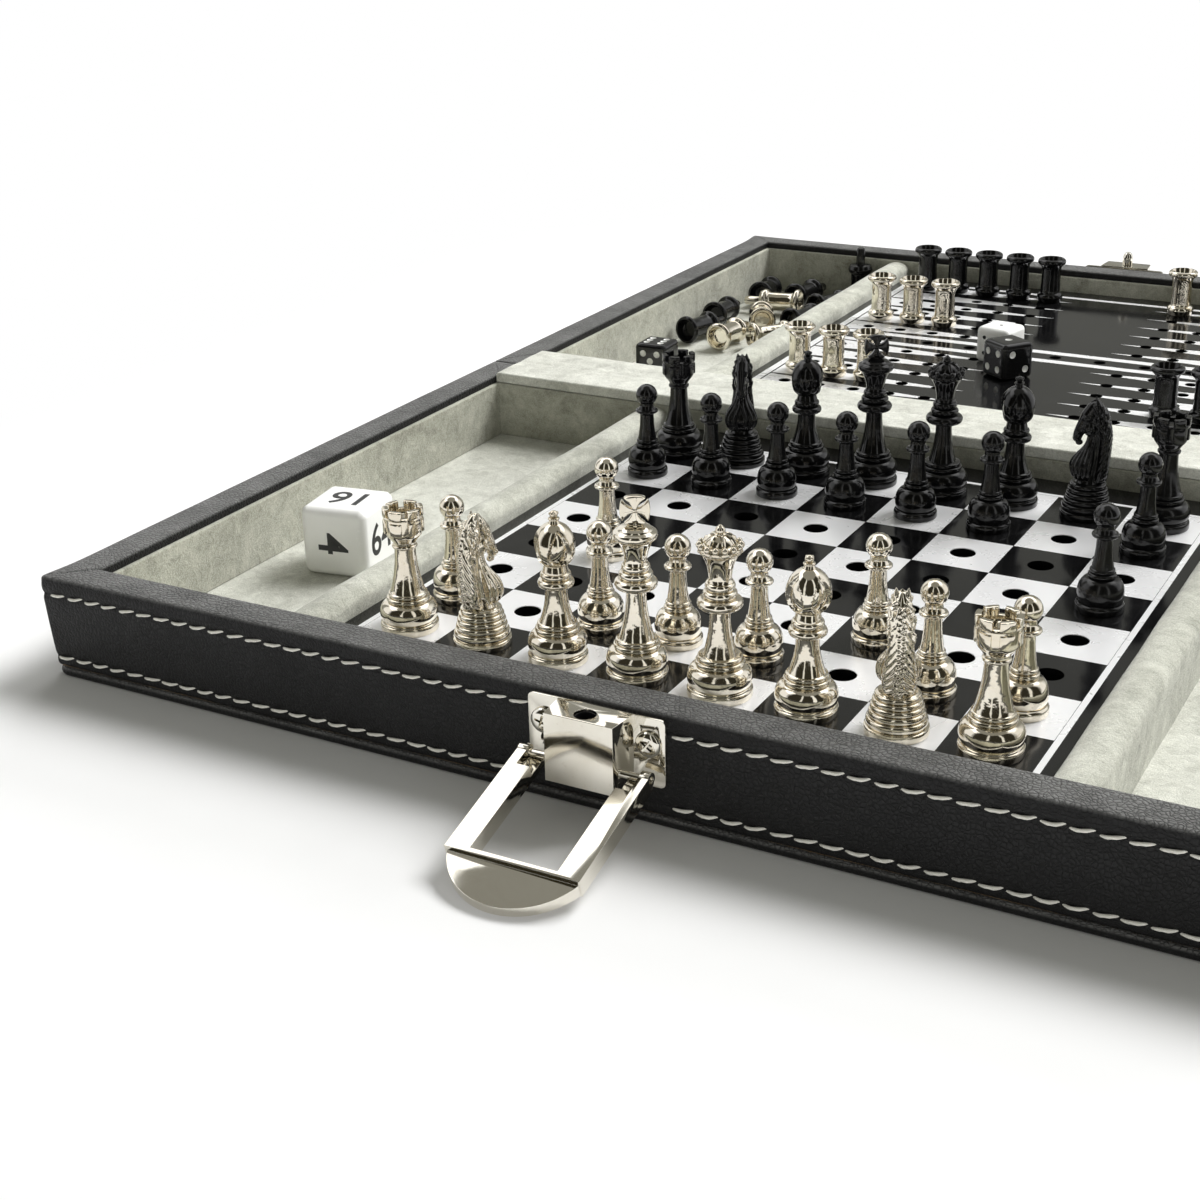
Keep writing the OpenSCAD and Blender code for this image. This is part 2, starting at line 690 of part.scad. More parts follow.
module silver_king() { men([[3, 0, 28]], nickel) king(); }
module silver_queen() { men([[4, 0, 0]], nickel) queen(); }
module silver_bishops() { men([[2, 0, 0], [5, 0, 200]], nickel) bishop(); }
module silver_knights() { men([[1, 0, 65], [6, 0, 112]], nickel) knight(); }
module silver_rooks() { men([[0, 0, 10], [7, 0, 40]], nickel) rook(); }
module silver_pawns() {
  men([[0, 1, 0], [1, 3, 0], [2, 1, 0], [3, 1, 0], [4, 1, 0], [5, 2, 0], [6, 1, 0], [7, 1, 0]],
      nickel) pawn();
}
module black_king() { men([[3, 7, 28]], gloss_black) king(); }
module black_queen() { men([[4, 7, 0]], gloss_black) queen(); }
module black_bishops() { men([[2, 7, 150], [5, 7, 160]], gloss_black) bishop(); }
module black_knights() { men([[1, 7, 290], [6, 7, 200]], gloss_black) knight(); }
module black_rooks() { men([[0, 7, 10], [7, 7, 40]], gloss_black) rook(); }
module black_pawns() {
  men(concat([for (i = [0, 1, 2, 3, 4, 5, 7]) [i, 6, 0]], [[7, 4, 0]]), gloss_black) pawn();
}

module silver_counters() {
  counter_row(-1, 7, 3, nickel);
  counter_row(-1, 2, 3, nickel);
  counter_row(1, 11, 5, nickel);
}
module black_counters() {
  counter_row(-1, 11, 5, gloss_black);
  counter_row(1, 2, 3, gloss_black);
}
module silver_spare_counters() {
  lying([[-120, 213, -4], [-105, 217.5, -38], [-118.5, 240, 26], [-121, 263.6, 96]], nickel);
}
module black_spare_counters() {
  lying([[-134, 217, -12], [-135.7, 241, 2], [-103.5, 244, -14], [-102.5, 268, -22],
         [-133.6, 277.5, 6], [-118, 280, -8]], gloss_black);
  // one stands on its head
  color(gloss_black) translate([-99, 291, floor_z + counter_h]) mirror([0, 0, 1]) counter();
}
module white_die() {
  translate([-12, far_field_y - 10.5, board_z]) rotate(-14) die("white", [1, 4, 2, 3, 5, 6], 0.8);
}
module black_die() {
  translate([-4.3, far_field_y - 26.9, board_z]) rotate(54)
    die(gloss_black, [1, 2, 3, 5, 4, 6], 1.4);
}
module spare_die() {
  translate([-127.5, 170.5, floor_z]) rotate(2) die(gloss_black, [6, 5, 3, 2, 4, 1], 1.4);
}
module doubling_cube() {
  color("white") translate([-119, -25.5, floor_z]) rotate(9) cube_block(cube_a, 0.88);
}

near_base_cover();
near_base_panel();
near_wall_boards();
near_leather_wrap();
near_floor_lining();
near_wall_lining();
near_left_divider();
near_right_divider();
near_board_bed();
chess_plate();
chess_silver();
near_hinge_strip();
clasp_body();
clasp_screws();
clasp_pin();
clasp_loop();
far_base_cover();
far_base_panel();
far_wall_boards();
far_leather_wrap();
far_floor_lining();
far_wall_lining();
far_left_divider();
far_right_divider();
far_board_bed();
backgammon_plate();
backgammon_silver();
far_hinge_strip();
keeper_body();
keeper_screws();
keeper_stud();
silver_king();
silver_queen();
silver_bishops();
silver_knights();
silver_rooks();
silver_pawns();
black_king();
black_queen();
black_bishops();
black_knights();
black_rooks();
black_pawns();
silver_counters();
black_counters();
silver_spare_counters();
black_spare_counters();
white_die();
black_die();
spare_die();
doubling_cube();
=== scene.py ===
import bpy
import bmesh
import random
from math import atan2, copysign, cos, degrees, exp, hypot, pi, radians, sin, tan
from mathutils import Matrix, Vector


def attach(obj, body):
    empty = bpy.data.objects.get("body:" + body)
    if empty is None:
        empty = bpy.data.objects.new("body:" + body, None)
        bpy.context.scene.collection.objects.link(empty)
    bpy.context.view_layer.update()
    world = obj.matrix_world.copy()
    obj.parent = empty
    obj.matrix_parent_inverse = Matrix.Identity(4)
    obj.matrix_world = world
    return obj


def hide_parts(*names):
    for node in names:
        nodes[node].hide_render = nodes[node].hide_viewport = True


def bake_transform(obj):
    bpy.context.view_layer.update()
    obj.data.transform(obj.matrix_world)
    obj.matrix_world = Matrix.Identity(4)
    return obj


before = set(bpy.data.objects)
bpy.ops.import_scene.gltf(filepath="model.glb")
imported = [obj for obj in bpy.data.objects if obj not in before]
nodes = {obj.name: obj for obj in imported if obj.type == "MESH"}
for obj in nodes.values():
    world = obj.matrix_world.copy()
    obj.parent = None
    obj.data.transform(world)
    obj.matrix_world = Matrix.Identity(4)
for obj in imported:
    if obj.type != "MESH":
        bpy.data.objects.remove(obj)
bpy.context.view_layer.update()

mm = 0.001


# Shader helpers

# Gives a socket a value, or wires another socket into it
def plug(tree, socket, value):
    if isinstance(value, bpy.types.NodeSocket):
        tree.links.new(value, socket)
    elif socket.type == "RGBA" and len(value) == 3:
        socket.default_value = (*value, 1)
    else:
        socket.default_value = value


def plugAll(tree, sockets, values):
    for socket, value in zip(sockets, values):
        if value is not None:
            plug(tree, socket, value)


# A node with its settings, and its inputs by name
def addNode(tree, kind, settings={}, **inputs):
    n = tree.nodes.new("ShaderNode" + kind)
    for key, value in settings.items():
        setattr(n, key, value)
    for key, value in inputs.items():
        plug(tree, n.inputs[key.replace("_", " ")], value)
    return n


def objectPlace(tree):
    return addNode(tree, "TexCoord").outputs["Object"]


def ramp(tree, source, stops):
    n = addNode(tree, "ValToRGB")
    plug(tree, n.inputs[0], source)
    made = n.color_ramp.elements
    while len(made) < len(stops):
        made.new(0.5)
    for stop, (p, v) in zip(made, stops):
        stop.position = p
        stop.color = (*v, 1) if isinstance(v, tuple) else (v, v, v, 1)
    return n.outputs[0]


def maths(tree, op, a, b=None, clamp=False):
    n = addNode(tree, "Math", {"operation": op, "use_clamp": clamp})
    plugAll(tree, n.inputs, (a, b))
    return n.outputs[0]


# Sum of (source, share) pairs
def weigh(tree, *pairs, clamp=False):
    whole = None
    for source, share in pairs:
        part = source if share == 1 else maths(tree, "MULTIPLY", source, share)
        whole = part if whole is None else maths(tree, "ADD", whole, part, clamp)
    return whole


def blendColour(tree, share, a, b):
    n = addNode(tree, "Mix", {"data_type": "RGBA"})
    plugAll(tree, (n.inputs[0], n.inputs[6], n.inputs[7]), (share, a, b))
    return n.outputs[2]


def mixShader(tree, share, first, second):
    n = addNode(tree, "MixShader")
    plugAll(tree, n.inputs, (share, first.outputs[0], second.outputs[0]))
    return n


def noise(tree, at, scale, detail=3, rough=0.5, distort=0.0):
    return addNode(tree, "TexNoise", Vector=at, Scale=scale, Detail=detail, Roughness=rough,
                   Distortion=distort).outputs["Fac"]


def mapRange(tree, value, low, high, start=0.0, end=1.0, kind="LINEAR"):
    return addNode(tree, "MapRange", {"interpolation_type": kind}, Value=value, From_Min=start, From_Max=end,
                   To_Min=low, To_Max=high).outputs[0]


def newGroup(name, outputs, **inputs):
    g = bpy.data.node_groups.new(name, "ShaderNodeTree")
    for key, value in inputs.items():
        g.interface.new_socket(key, in_out="INPUT", socket_type="NodeSocketFloat").default_value = value
    for key in outputs:
        g.interface.new_socket(key, in_out="OUTPUT", socket_type="NodeSocketFloat")
    return g, g.nodes.new("NodeGroupInput").outputs, g.nodes.new("NodeGroupOutput").inputs, objectPlace(g)


# Pebbled hide: cells with creases between them, and slow wrinkles under them
def makeGrainGroup():
    g, given, made, at = newGroup("hideGrain", ("Height", "Tone"), Scale=1100.0, Wrinkle=90.0)
    stray = addNode(g, "TexNoise", Vector=at, Scale=420).outputs["Color"]
    warp = addNode(g, "VectorMath", {"operation": "MULTIPLY_ADD"})
    plugAll(g, warp.inputs, (stray, (0.0012, 0.0012, 0.0012), at))
    cells = addNode(g, "TexVoronoi", {"feature": "DISTANCE_TO_EDGE"}, Vector=warp.outputs[0], Scale=given["Scale"])
    crease = ramp(g, cells.outputs["Distance"], [(0.0, 0.0), (0.12, 0.7), (0.35, 1.0)])
    fine = noise(g, at, 3600, 4, 0.6)
    slow = noise(g, at, given["Wrinkle"], 4, 0.55, 0.6)
    plug(g, made["Height"], weigh(g, (crease, 1), (fine, 0.5), (slow, 1.2)))
    plug(g, made["Tone"], weigh(g, (crease, 0.35), (slow, 0.9)))
    return g


# Brushed nap: cloudy strokes, and short fibres that catch the light
def makeNapGroup():
    g, given, made, at = newGroup("suedeNap", ("Tone", "Height", "Speck"), Cloud=55.0, Fibre=2600.0)
    cloud = noise(g, at, given["Cloud"], 5, 0.62, 1.4)
    small = noise(g, at, 300, 4, 0.65, 0.8)
    fibre = noise(g, at, given["Fibre"], 3, 0.7, 0.4)
    tone = weigh(g, (cloud, 0.36), (small, 0.26), (fibre, 0.38))
    plug(g, made["Tone"], ramp(g, tone, [(0.34, 0.0), (0.66, 1.0)]))
    plug(g, made["Height"], weigh(g, (fibre, 0.6), (small, 0.8)))
    plug(g, made["Speck"], ramp(g, noise(g, at, 1500, 2, 0.8), [(0.64, 0.0), (0.72, 1.0)]))
    return g


# Handling marks: soft smudges, fine scratches and a slow unevenness of the surface
def makeHandlingGroup():
    g, given, made, at = newGroup("handling", ("Smudge", "Scratch", "Height"), Smudge=60.0, Scratch=900.0)
    smudge = noise(g, at, given["Smudge"], 4, 0.6, 0.5)
    stretch = addNode(g, "Mapping", Vector=at, Rotation=(0.3, 0.2, 0.7), Scale=(1, 0.03, 1))
    lines = noise(g, stretch.outputs[0], given["Scratch"], 2)
    plug(g, made["Smudge"], ramp(g, smudge, [(0.35, 0.0), (0.7, 1.0)]))
    plug(g, made["Scratch"], ramp(g, lines, [(0.66, 0.0), (0.72, 1.0)]))
    plug(g, made["Height"], weigh(g, (noise(g, at, 130, 2), 1), (noise(g, at, 520, 2), 0.3), (lines, 0.02)))
    return g


hideGrain = makeGrainGroup()
suedeNap = makeNapGroup()
handling = makeHandlingGroup()


def newMaterial(name, **values):
    m = bpy.data.materials.new(name)
    m.use_nodes = True
    inputs = m.node_tree.nodes["Principled BSDF"].inputs
    for key, value in values.items():
        inputs[key.replace("_", " ")].default_value = value
    return m, m.node_tree, inputs


def bump(tree, to, height, distance, strength=1.0):
    n = addNode(tree, "Bump", Height=height, Distance=distance, Strength=strength)
    plug(tree, to["Normal"], n.outputs[0])


# Colour from a tone between two colours, roughness from a mask between two values
def setRange(tree, to, tone, dark, light, mask=None, rough=None):
    plug(tree, to["Base Color"], blendColour(tree, tone, dark, light))
    if mask is not None:
        plug(tree, to["Roughness"], mapRange(tree, mask, *rough))


# Value that goes from one number on upright faces to another on level ones
def byLevel(tree, upright, flat):
    split = addNode(tree, "SeparateXYZ", Vector=addNode(tree, "TexCoord").outputs["Normal"])
    return mapRange(tree, split.outputs["Z"], upright, flat, 0.25, 0.85)


# Hide is dark on the walls and coarser on the rim; the rim's level top is painted lighter, a painted sheen for the
# light it reflects
def leatherMaterial():
    m, t, to = newMaterial("leather", Specular_IOR_Level=0.3)
    grain = addNode(t, "Group", {"node_tree": hideGrain}, Scale=950.0).outputs
    wall = blendColour(t, grain["Tone"], (0.003, 0.003, 0.0032), (0.012, 0.012, 0.0125))
    # painted sheen: level faces are lifted towards light grey with the grain, standing in for reflected light
    lift = maths(t, "MULTIPLY", byLevel(t, 0.0, 1.15), grain["Tone"])
    plug(t, to["Base Color"], blendColour(t, lift, wall, (0.155, 0.155, 0.151)))
    plug(t, to["Roughness"], weigh(t, (byLevel(t, 0.56, 0.50), 1), (grain["Tone"], -0.14)))
    bump(t, to, maths(t, "MULTIPLY", grain["Height"], byLevel(t, 0.4, 1.0)), 0.00036, 0.85)
    return m


def threadMaterial():
    m, t, to = newMaterial("thread", Roughness=0.7, Sheen_Weight=0.2)
    strands = noise(t, objectPlace(t), 2600, 3, 0.6, 1.0)
    setRange(t, to, strands, (0.74, 0.72, 0.64), (0.95, 0.94, 0.88))
    bump(t, to, strands, 0.00012)
    return m


def suedeMaterial(name, dark, light):
    m, t, to = newMaterial(name, Roughness=0.95, Sheen_Weight=0.3, Sheen_Roughness=0.5, Specular_IOR_Level=0.15)
    nap = addNode(t, "Group", {"node_tree": suedeNap}).outputs
    setRange(t, to, weigh(t, (nap["Tone"], 1), (nap["Speck"], -0.16), clamp=True), dark, light)
    bump(t, to, nap["Height"], 0.0006, 0.8)
    return m


def glossMaterial(name, dark, light, rough, metal=0.0, height=0.00002, scratch=0.5):
    m, t, to = newMaterial(name, Metallic=metal)
    marks = addNode(t, "Group", {"node_tree": handling}).outputs
    worn = weigh(t, (marks["Smudge"], 0.8), (marks["Scratch"], scratch), clamp=True)
    setRange(t, to, worn, dark, light, worn, rough)
    bump(t, to, marks["Height"], height, 0.6)
    return m


def woodMaterial():
    m, t, to = newMaterial("boardWood")
    stretch = addNode(t, "Mapping", Vector=objectPlace(t), Scale=(0.12, 1, 1))
    lines = noise(t, stretch.outputs[0], 500, 5, 0.6, 1.2)
    setRange(t, to, lines, (0.22, 0.13, 0.06), (0.5, 0.35, 0.2), lines, (0.6, 0.8))
    bump(t, to, lines, 0.0002)
    return m


mats = {
    "leather": leatherMaterial(),
    "thread": threadMaterial(),
    "suede": suedeMaterial("suede", (0.33, 0.332, 0.28), (0.84, 0.845, 0.765)),
    # Darker copy of the same suede for the divider bars: painted shade
    "suede_bar_painted_shade": suedeMaterial("suedeBarPaintedShade", (0.22, 0.222, 0.178), (0.70, 0.705, 0.62)),
    # Darker, more olive copy of the same suede for the wall linings: painted shade
    "suede_painted_shade_wall": suedeMaterial("suedeWallPaintedShade", (0.16, 0.16, 0.118), (0.58, 0.58, 0.49)),
    "board_wood": woodMaterial(),
    "board_black": glossMaterial("boardBlack", (0.003, 0.003, 0.0033), (0.009, 0.009, 0.0095), (0.08, 0.16)),
    "board_silver": glossMaterial("boardSilver", (0.92, 0.92, 0.93), (0.88, 0.88, 0.89), (0.26, 0.32), 0.35,
                                  scratch=0.1),
    "nickel": glossMaterial("nickel", (0.84, 0.81, 0.73), (0.74, 0.70, 0.61), (0.04, 0.12), 1.0),
    "nickel_men": glossMaterial("nickelMen", (0.86, 0.81, 0.70), (0.70, 0.63, 0.50), (0.05, 0.14), 1.0, 0.0003),
    "black_men": glossMaterial("blackMen", (0.002, 0.002, 0.0022), (0.006, 0.006, 0.0065), (0.10, 0.22),
                              height=0.0002),
    "white_dice": glossMaterial("whiteDice", (0.93, 0.93, 0.91), (0.88, 0.88, 0.86), (0.18, 0.3)),
    "black_dice": glossMaterial("blackDice", (0.006, 0.006, 0.0065), (0.014, 0.014, 0.015), (0.08, 0.16)),
    "white_paint": glossMaterial("whitePaint", (0.8, 0.8, 0.78), (0.66, 0.66, 0.63), (0.4, 0.5)),
    "black_paint": glossMaterial("blackPaint", (0.01, 0.01, 0.011), (0.02, 0.02, 0.021), (0.3, 0.45)),
}
print("stage: materials")

trayFinish = {
    "leather": ["leather_wrap", "base_cover"],
    "suede": ["floor_lining", "wall_lining", "left_divider", "right_divider", "hinge_strip"],
    "board_wood": ["base_panel", "wall_boards"],
    "board_black": ["board_bed"],
}
cadFinish = {finish: [side + "_" + name for side in ("near", "far") for name in names]
             for finish, names in trayFinish.items()}
cadFinish["board_black"] += ["chess_plate", "backgammon_plate"]
cadFinish.update({
    "board_silver": ["chess_silver", "backgammon_silver"],
    "nickel": ["clasp_body", "clasp_screws", "clasp_pin", "clasp_loop", "keeper_body", "keeper_screws",
               "keeper_stud"],
    "nickel_men": [n for n in nodes if n.startswith("silver_")],
    "black_men": [n for n in nodes if n.startswith("black_") and n != "black_die"],
    "white_dice": ["white_die", "doubling_cube"],
    "black_dice": ["black_die", "spare_die"],
})


def paint(mesh, finish):
    mesh.materials.clear()
    mesh.materials.append(mats[finish])
    mesh.polygons.foreach_set("material_index", [0] * len(mesh.polygons))


for finish, names in cadFinish.items():
    for name in names:
        paint(nodes[name].data, finish)

# Mesh helpers
# A part is (vertices, faces) in millimetres; a shape gathers parts, each with a paint number.


class Shape:
    def __init__(self):
        self.verts, self.faces, self.paints = [], [], []

    def add(self, part, place=Matrix(), paint=0):
        first = len(self.verts)
        self.verts += [place @ Vector(v) for v in part[0]]
        self.faces += [tuple(first + i for i in f) for f in part[1]]
        self.paints += [paint] * len(part[1])
        return self


def weld(mesh, gap, flatten=False):
    bm = bmesh.new()
    bm.from_mesh(mesh)
    bmesh.ops.remove_doubles(bm, verts=bm.verts, dist=gap)
    if flatten:
        bmesh.ops.dissolve_limit(bm, angle_limit=radians(1), verts=bm.verts, edges=bm.edges)
    bm.to_mesh(mesh)
    bm.free()


def setOut(parts, places):
    shape = Shape()
    for place in places:
        for part in parts:
            shape.add(part, place)
    return shape


def shapeMesh(name, shape, finishes, sharp=38):
    if isinstance(shape, tuple):
        shape = Shape().add(shape)
    mesh = bpy.data.meshes.new(name)
    mesh.from_pydata([v * mm for v in shape.verts], [], shape.faces)
    mesh.polygons.foreach_set("material_index", shape.paints)
    weld(mesh, 1e-7)
    for finish in finishes:
        mesh.materials.append(mats[finish])
    mesh.shade_smooth()
    mesh.set_sharp_from_angle(angle=radians(sharp))
    return mesh


def placed(name, data):
    o = bpy.data.objects.new(name, data)
    bpy.context.collection.objects.link(o)
    return o


def piece(name, mesh, body, replaced=()):
    o = placed(name, mesh)
    if body:
        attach(o, body)
    if replaced:
        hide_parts(*replaced)
    return o


# A shape that stands for one CAD node
def dress(node, shape, finish, body, sharp=38):
    return piece(node + "_shape", shapeMesh(node, shape, [finish], sharp), body, [node])


# The object's mesh with its modifiers, once the object is taken away
def finalMesh(o):
    made = bpy.data.meshes.new_from_object(o.evaluated_get(bpy.context.evaluated_depsgraph_get()))
    bpy.data.objects.remove(o)
    return made


def asPart(mesh):
    return [tuple(v.co) for v in mesh.vertices], [tuple(p.vertices) for p in mesh.polygons]


def cutAway(mesh, cutter, crossing=False):
    whole, tool = placed("whole", mesh), placed("tool", cutter)
    cut = whole.modifiers.new("cut", "BOOLEAN")
    cut.operation, cut.solver, cut.object, cut.use_self = "DIFFERENCE", "EXACT", tool, crossing
    made = finalMesh(whole)
    bpy.data.objects.remove(tool)
    return made


def shift(x, y, z):
    return Matrix.Translation((x, y, z))


def spin(degrees, axis="Z"):
    return Matrix.Rotation(radians(degrees), 4, axis)


def at(x, y, z, turn=0, tip=0):
    return shift(x, y, z) @ spin(turn) @ spin(tip, "X")


# Outline pieces for turned parts, each a list of (radius, height)
def bow(cr, cz, ar, az, a0, a1, n=12):
    return [(cr + ar * cos(a), cz + az * sin(a))
            for a in (radians(a0 + (a1 - a0) * k / n) for k in range(n + 1))]


def hollow(r0, z0, r1, z1, n=14):
    return [(r1 + (r0 - r1) * (1 - k / n) ** 2, z0 + (z1 - z0) * k / n) for k in range(n + 1)]


def bead(r, z, h, d, n=9):
    return [(r - d + d * sin(pi * k / n), z + h * (1 - cos(pi * k / n)) / 2)
            for k in range(n + 1)]


# Smooth line through points of any number of values
def flare(points, n=4):
    out = []
    for k in range(len(points) - 1):
        p0, p1, p2, p3 = (points[max(0, min(len(points) - 1, k + j))] for j in (-1, 0, 1, 2))
        for i in range(n):
            t = i / n
            out.append(tuple(0.5 * (2 * b + (c - a) * t + (2 * a - 5 * b + 4 * c - d) * t * t
                                    + (3 * b - a - 3 * c + d) * t ** 3)
                             for a, b, c, d in zip(p0, p1, p2, p3)))
    return out + [points[-1]]


# Faces between rings of so many points each, with the first and last ring closed or joined
def ringFaces(rings, points, caps=False, joined=False, inward=False):
    faces = []
    for i in range(rings if joined else rings - 1):
        a, b = i * points, (i + 1) % rings * points
        for k in range(points):
            n = (k + 1) % points
            faces.append((a + k, a + n, b + n, b + k))
    if caps:
        faces += [tuple(reversed(range(points))), tuple(range((rings - 1) * points, rings * points))]
    return [(f[0], *f[:0:-1]) for f in faces] if inward else faces


def lathe(outline, steps=72):
    outline = [(0, outline[0][1])] + list(outline) + [(0, outline[-1][1])]
    verts, faces, rings = [], [], []
    for r, z in outline:
        count = steps if r > 1e-6 else 1
        rings.append(range(len(verts), len(verts) + count))
        verts += [(r * cos(a), r * sin(a), z) for a in (2 * pi * k / steps for k in range(count))]
    for a, b in zip(rings, rings[1:]):
        for k in range(steps):
            n = (k + 1) % steps
            if len(a) > 1 and len(b) > 1:
                faces.append((a[k], a[n], b[n], b[k]))
            elif len(b) > 1:
                faces.append((a[0], b[n], b[k]))
            elif len(a) > 1:
                faces.append((a[k], a[n], b[0]))
    return verts, faces


def ball(c, r, steps=20, rings=12):
    rx, ry, rz = r if isinstance(r, tuple) else (r, r, r)
    v, f = lathe(bow(0, 0, 1, 1, -88, 88, rings), steps)
    return [(c[0] + x * rx, c[1] + y * ry, c[2] + z * rz) for x, y, z in v], f


# Tube along points, with a radius for each; flat squashes it, and lobes twist round it
def tube(points, radii, sides=10, flat=1.0, twist=0.0, lobes=0.0):
    pts = [Vector(p) for p in points]
    verts, side, n = [], None, len(pts)
    for k, p in enumerate(pts):
        t = (pts[min(k + 1, n - 1)] - pts[max(k - 1, 0)]).normalized()
        if side is None:
            side = t.orthogonal().normalized()
        side = (side - t * side.dot(t)).normalized()
        other = t.cross(side)
        for j in range(sides):
            a = 2 * pi * j / sides
            r = radii[k] * (1 + lobes * cos(2 * (a - twist * k / n)))
            verts.append(tuple(p + side * (r * cos(a)) + other * (r * flat * sin(a))))
    return verts, ringFaces(n, sides, caps=True)


# A part with its sharper edges rounded
def rounded(verts, faces, width, turn):
    bm = bmesh.new()
    made = [bm.verts.new(v) for v in verts]
    for f in faces:
        bm.faces.new([made[i] for i in f])
    bmesh.ops.recalc_face_normals(bm, faces=bm.faces)
    edges = [e for e in bm.edges if e.calc_face_angle(0) > turn]
    bmesh.ops.bevel(bm, geom=edges, offset=width, segments=2, affect="EDGES", profile=0.5)
    bm.verts.index_update()
    part = [tuple(v.co) for v in bm.verts], [tuple(v.index for v in f.verts) for f in bm.faces]
    bm.free()
    return part


# Block bent round the Z axis, between two radii, heights and angles
def arcBlock(r0, r1, z0, z1, a0, a1, width, n=6):
    verts = []
    for k in range(n + 1):
        a = radians(a0 + (a1 - a0) * k / n)
        verts += [(r * cos(a), r * sin(a), z) for r, z in ((r0, z0), (r1, z0), (r1, z1), (r0, z1))]
    return rounded(verts, ringFaces(n + 1, 4, caps=True, inward=True), width, 0.9)


# A copy of a CAD node's mesh with rounded edges, to stand for it
def soften(name, body, finish, width):
    mesh = nodes[name].data.copy()
    weld(mesh, 2e-6, flatten=True)
    paint(mesh, finish)
    o = piece(name + "_shape", mesh, body, [name])
    b = o.modifiers.new("edges", "BEVEL")
    b.width, b.segments, b.limit_method, b.angle_limit = width * mm, 3, "ANGLE", radians(30)
    b.harden_normals = True
    mesh.shade_smooth()
    return o


# The case

case = {"x": 152.5, "y0": -103.0, "y1": 102.85, "lip": 9.6, "hingeLip": 13.6, "hinge": 103.0,
        "corners": [1.2, 1.2, 0.25, 0.25], "baseCorner": 4, "baseProud": 0.35}
stitchRow = (21.5, 5.0)
stitch = {"pitch": 5.4, "length": 4.95, "r": 0.43, "start": 1.2, "gap": 15.6}

# Leather's section: depth in from the outer face, and height. It starts under the inner lip.
wrapSection = (
    [(9.6, 23.65), (9.62, 24.4), (9.6, 25.2), (9.45, 25.65), (9.1, 25.9), (8.6, 26.0), (7.2, 26.06),
     (5.5, 26.08), (3.8, 26.06), (2.4, 26.02), (1.3, 25.98), (0.75, 25.92), (0.35, 25.78), (0.1, 25.5),
     (0.0, 25.1), (-0.06, 24.5), (-0.14, 23.9), (-0.2, 23.3), (-0.16, 22.7), (-0.04, 22.2), (0.16, 21.8),
     (0.24, 21.5), (0.16, 21.2), (0.0, 20.7), (-0.08, 20), (-0.1, 18), (-0.12, 15.5), (-0.13, 13),
     (-0.12, 10.5), (-0.1, 8), (-0.05, 6.4), (0.06, 5.6), (0.2, 5.25), (0.26, 5.0), (0.2, 4.75), (0.08, 4.3),
     (0.02, 3.8), (0.12, 3.1), (0.4, 2.6), (0.9, 2.3), (1.4, 2.25), (1.5, 3), (1.5, 13), (1.5, 24.6),
     (5, 24.8), (8.4, 24.6), (8.5, 23.65)])


def wrapPart():
    x, y0, y1 = case["x"], case["y0"], case["y1"]
    corners = [Vector((-x, y0)), Vector((x, y0)), Vector((x, y1)), Vector((-x, y1))]
    nearEnds = [0, 0.25, 0.6, 1.1, 1.8, 2.8, 4.2]
    deeper = (case["hingeLip"] - 1) / (case["lip"] - 1)
    verts = []

    def sunk(d, hinged):
        return 1 + (d - 1) * deeper if hinged and d >= 1.6 else d

    # Folded corners stand out a little at the rim and tuck in at the foot
    def put(p, d, z, height):
        if d < 6:
            near, side = hypot(x - abs(p.x), p.y - y0), copysign(1, p.x)
            lift, tuck = max(0.0, min(1.0, (z - 6) / 14)), max(0.0, 1 - z / 6.5) ** 2
            p = p + Vector((side, -0.35)) * (1.1 * lift * exp(-(near / 7) ** 2))
            p = p + Vector((-side, 1)) * (0.4 * tuck * exp(-(near / 3.2) ** 2))
        verts.append((p.x, p.y, height))

    for k in range(4):
        a, b, c = (corners[(k + j) % 4] for j in range(3))
        t, after = (b - a).normalized(), (c - b).normalized()
        inward = Vector((-t.y, t.x))
        length = (b - a).length
        r0, r = case["corners"][k], case["corners"][(k + 1) % 4]
        count = int(length / 1.35)
        places = ([e / length for e in nearEnds] + [i / count for i in range(5, count - 4)]
                  + [1 - e / length for e in reversed(nearEnds)])
        for q in places:
            for d, z in wrapSection:
                start, end = max(sunk(d, k == 3), r0), length - max(sunk(d, k == 1), r)
                along = start + q * (end - start)
                p = a + t * along + inward * sunk(d, k == 2)
                height = z
                if z > 25.4 and d > 1:
                    height -= 0.22 * exp(-(min(along - start, end - along) / 0.45) ** 2)
                if k != 2 and d < 1:
                    phase = cos(2 * pi * (along - stitch["start"]) / stitch["pitch"])
                    for row in stitchRow:
                        p += inward * 0.1 * phase * exp(-((z - row) / 0.7) ** 2)
                    p += inward * 0.07 * sin(along * 0.11 + z * 0.35 + k) * sin(z * 0.4 - along * 0.047)
                put(p, d, z, height)
        steps = 8 if r > 1 else 2
        for j in range(1, steps):
            turn = j / steps * pi / 2
            for d, z in wrapSection:
                if d < r:
                    middle = b - t * r + after * r
                    put(middle + (r - d) * (t * sin(turn) - after * cos(turn)), d, z, z)
                else:
                    put(b - t * sunk(d, k == 1) + after * sunk(d, k == 2), d, z,
                        z - 0.22 if z > 25.4 and d > 1 else z)
    m = len(wrapSection)
    return verts, ringFaces(len(verts) // m, m, joined=True)


# Cut and bound base sheet, with a rounded edge all round
def basePart():
    loops = [(3, 0), (1.2, 0), (0.5, 0.18), (0.15, 0.55), (0, 1.05), (0.12, 1.6), (0.45, 2.0), (1.1, 2.2), (3, 2.2)]
    x, y0, y1 = case["x"] + case["baseProud"], case["y0"] - case["baseProud"], case["y1"]
    c = case["baseCorner"]
    verts = []
    for inset, z in loops:
        r = c - inset * 0.9
        for cx, first in ((-x + c, 180), (x - c, 270)):
            verts += [(u, v, z) for u, v in bow(cx, y0 + c, r, r, first, first + 90, 10)]
        verts += [(side * (x - inset), y1 - min(inset, 0.3), z) for side in (1, -1)]
    return verts, ringFaces(len(loops), len(verts) // len(loops), caps=True)


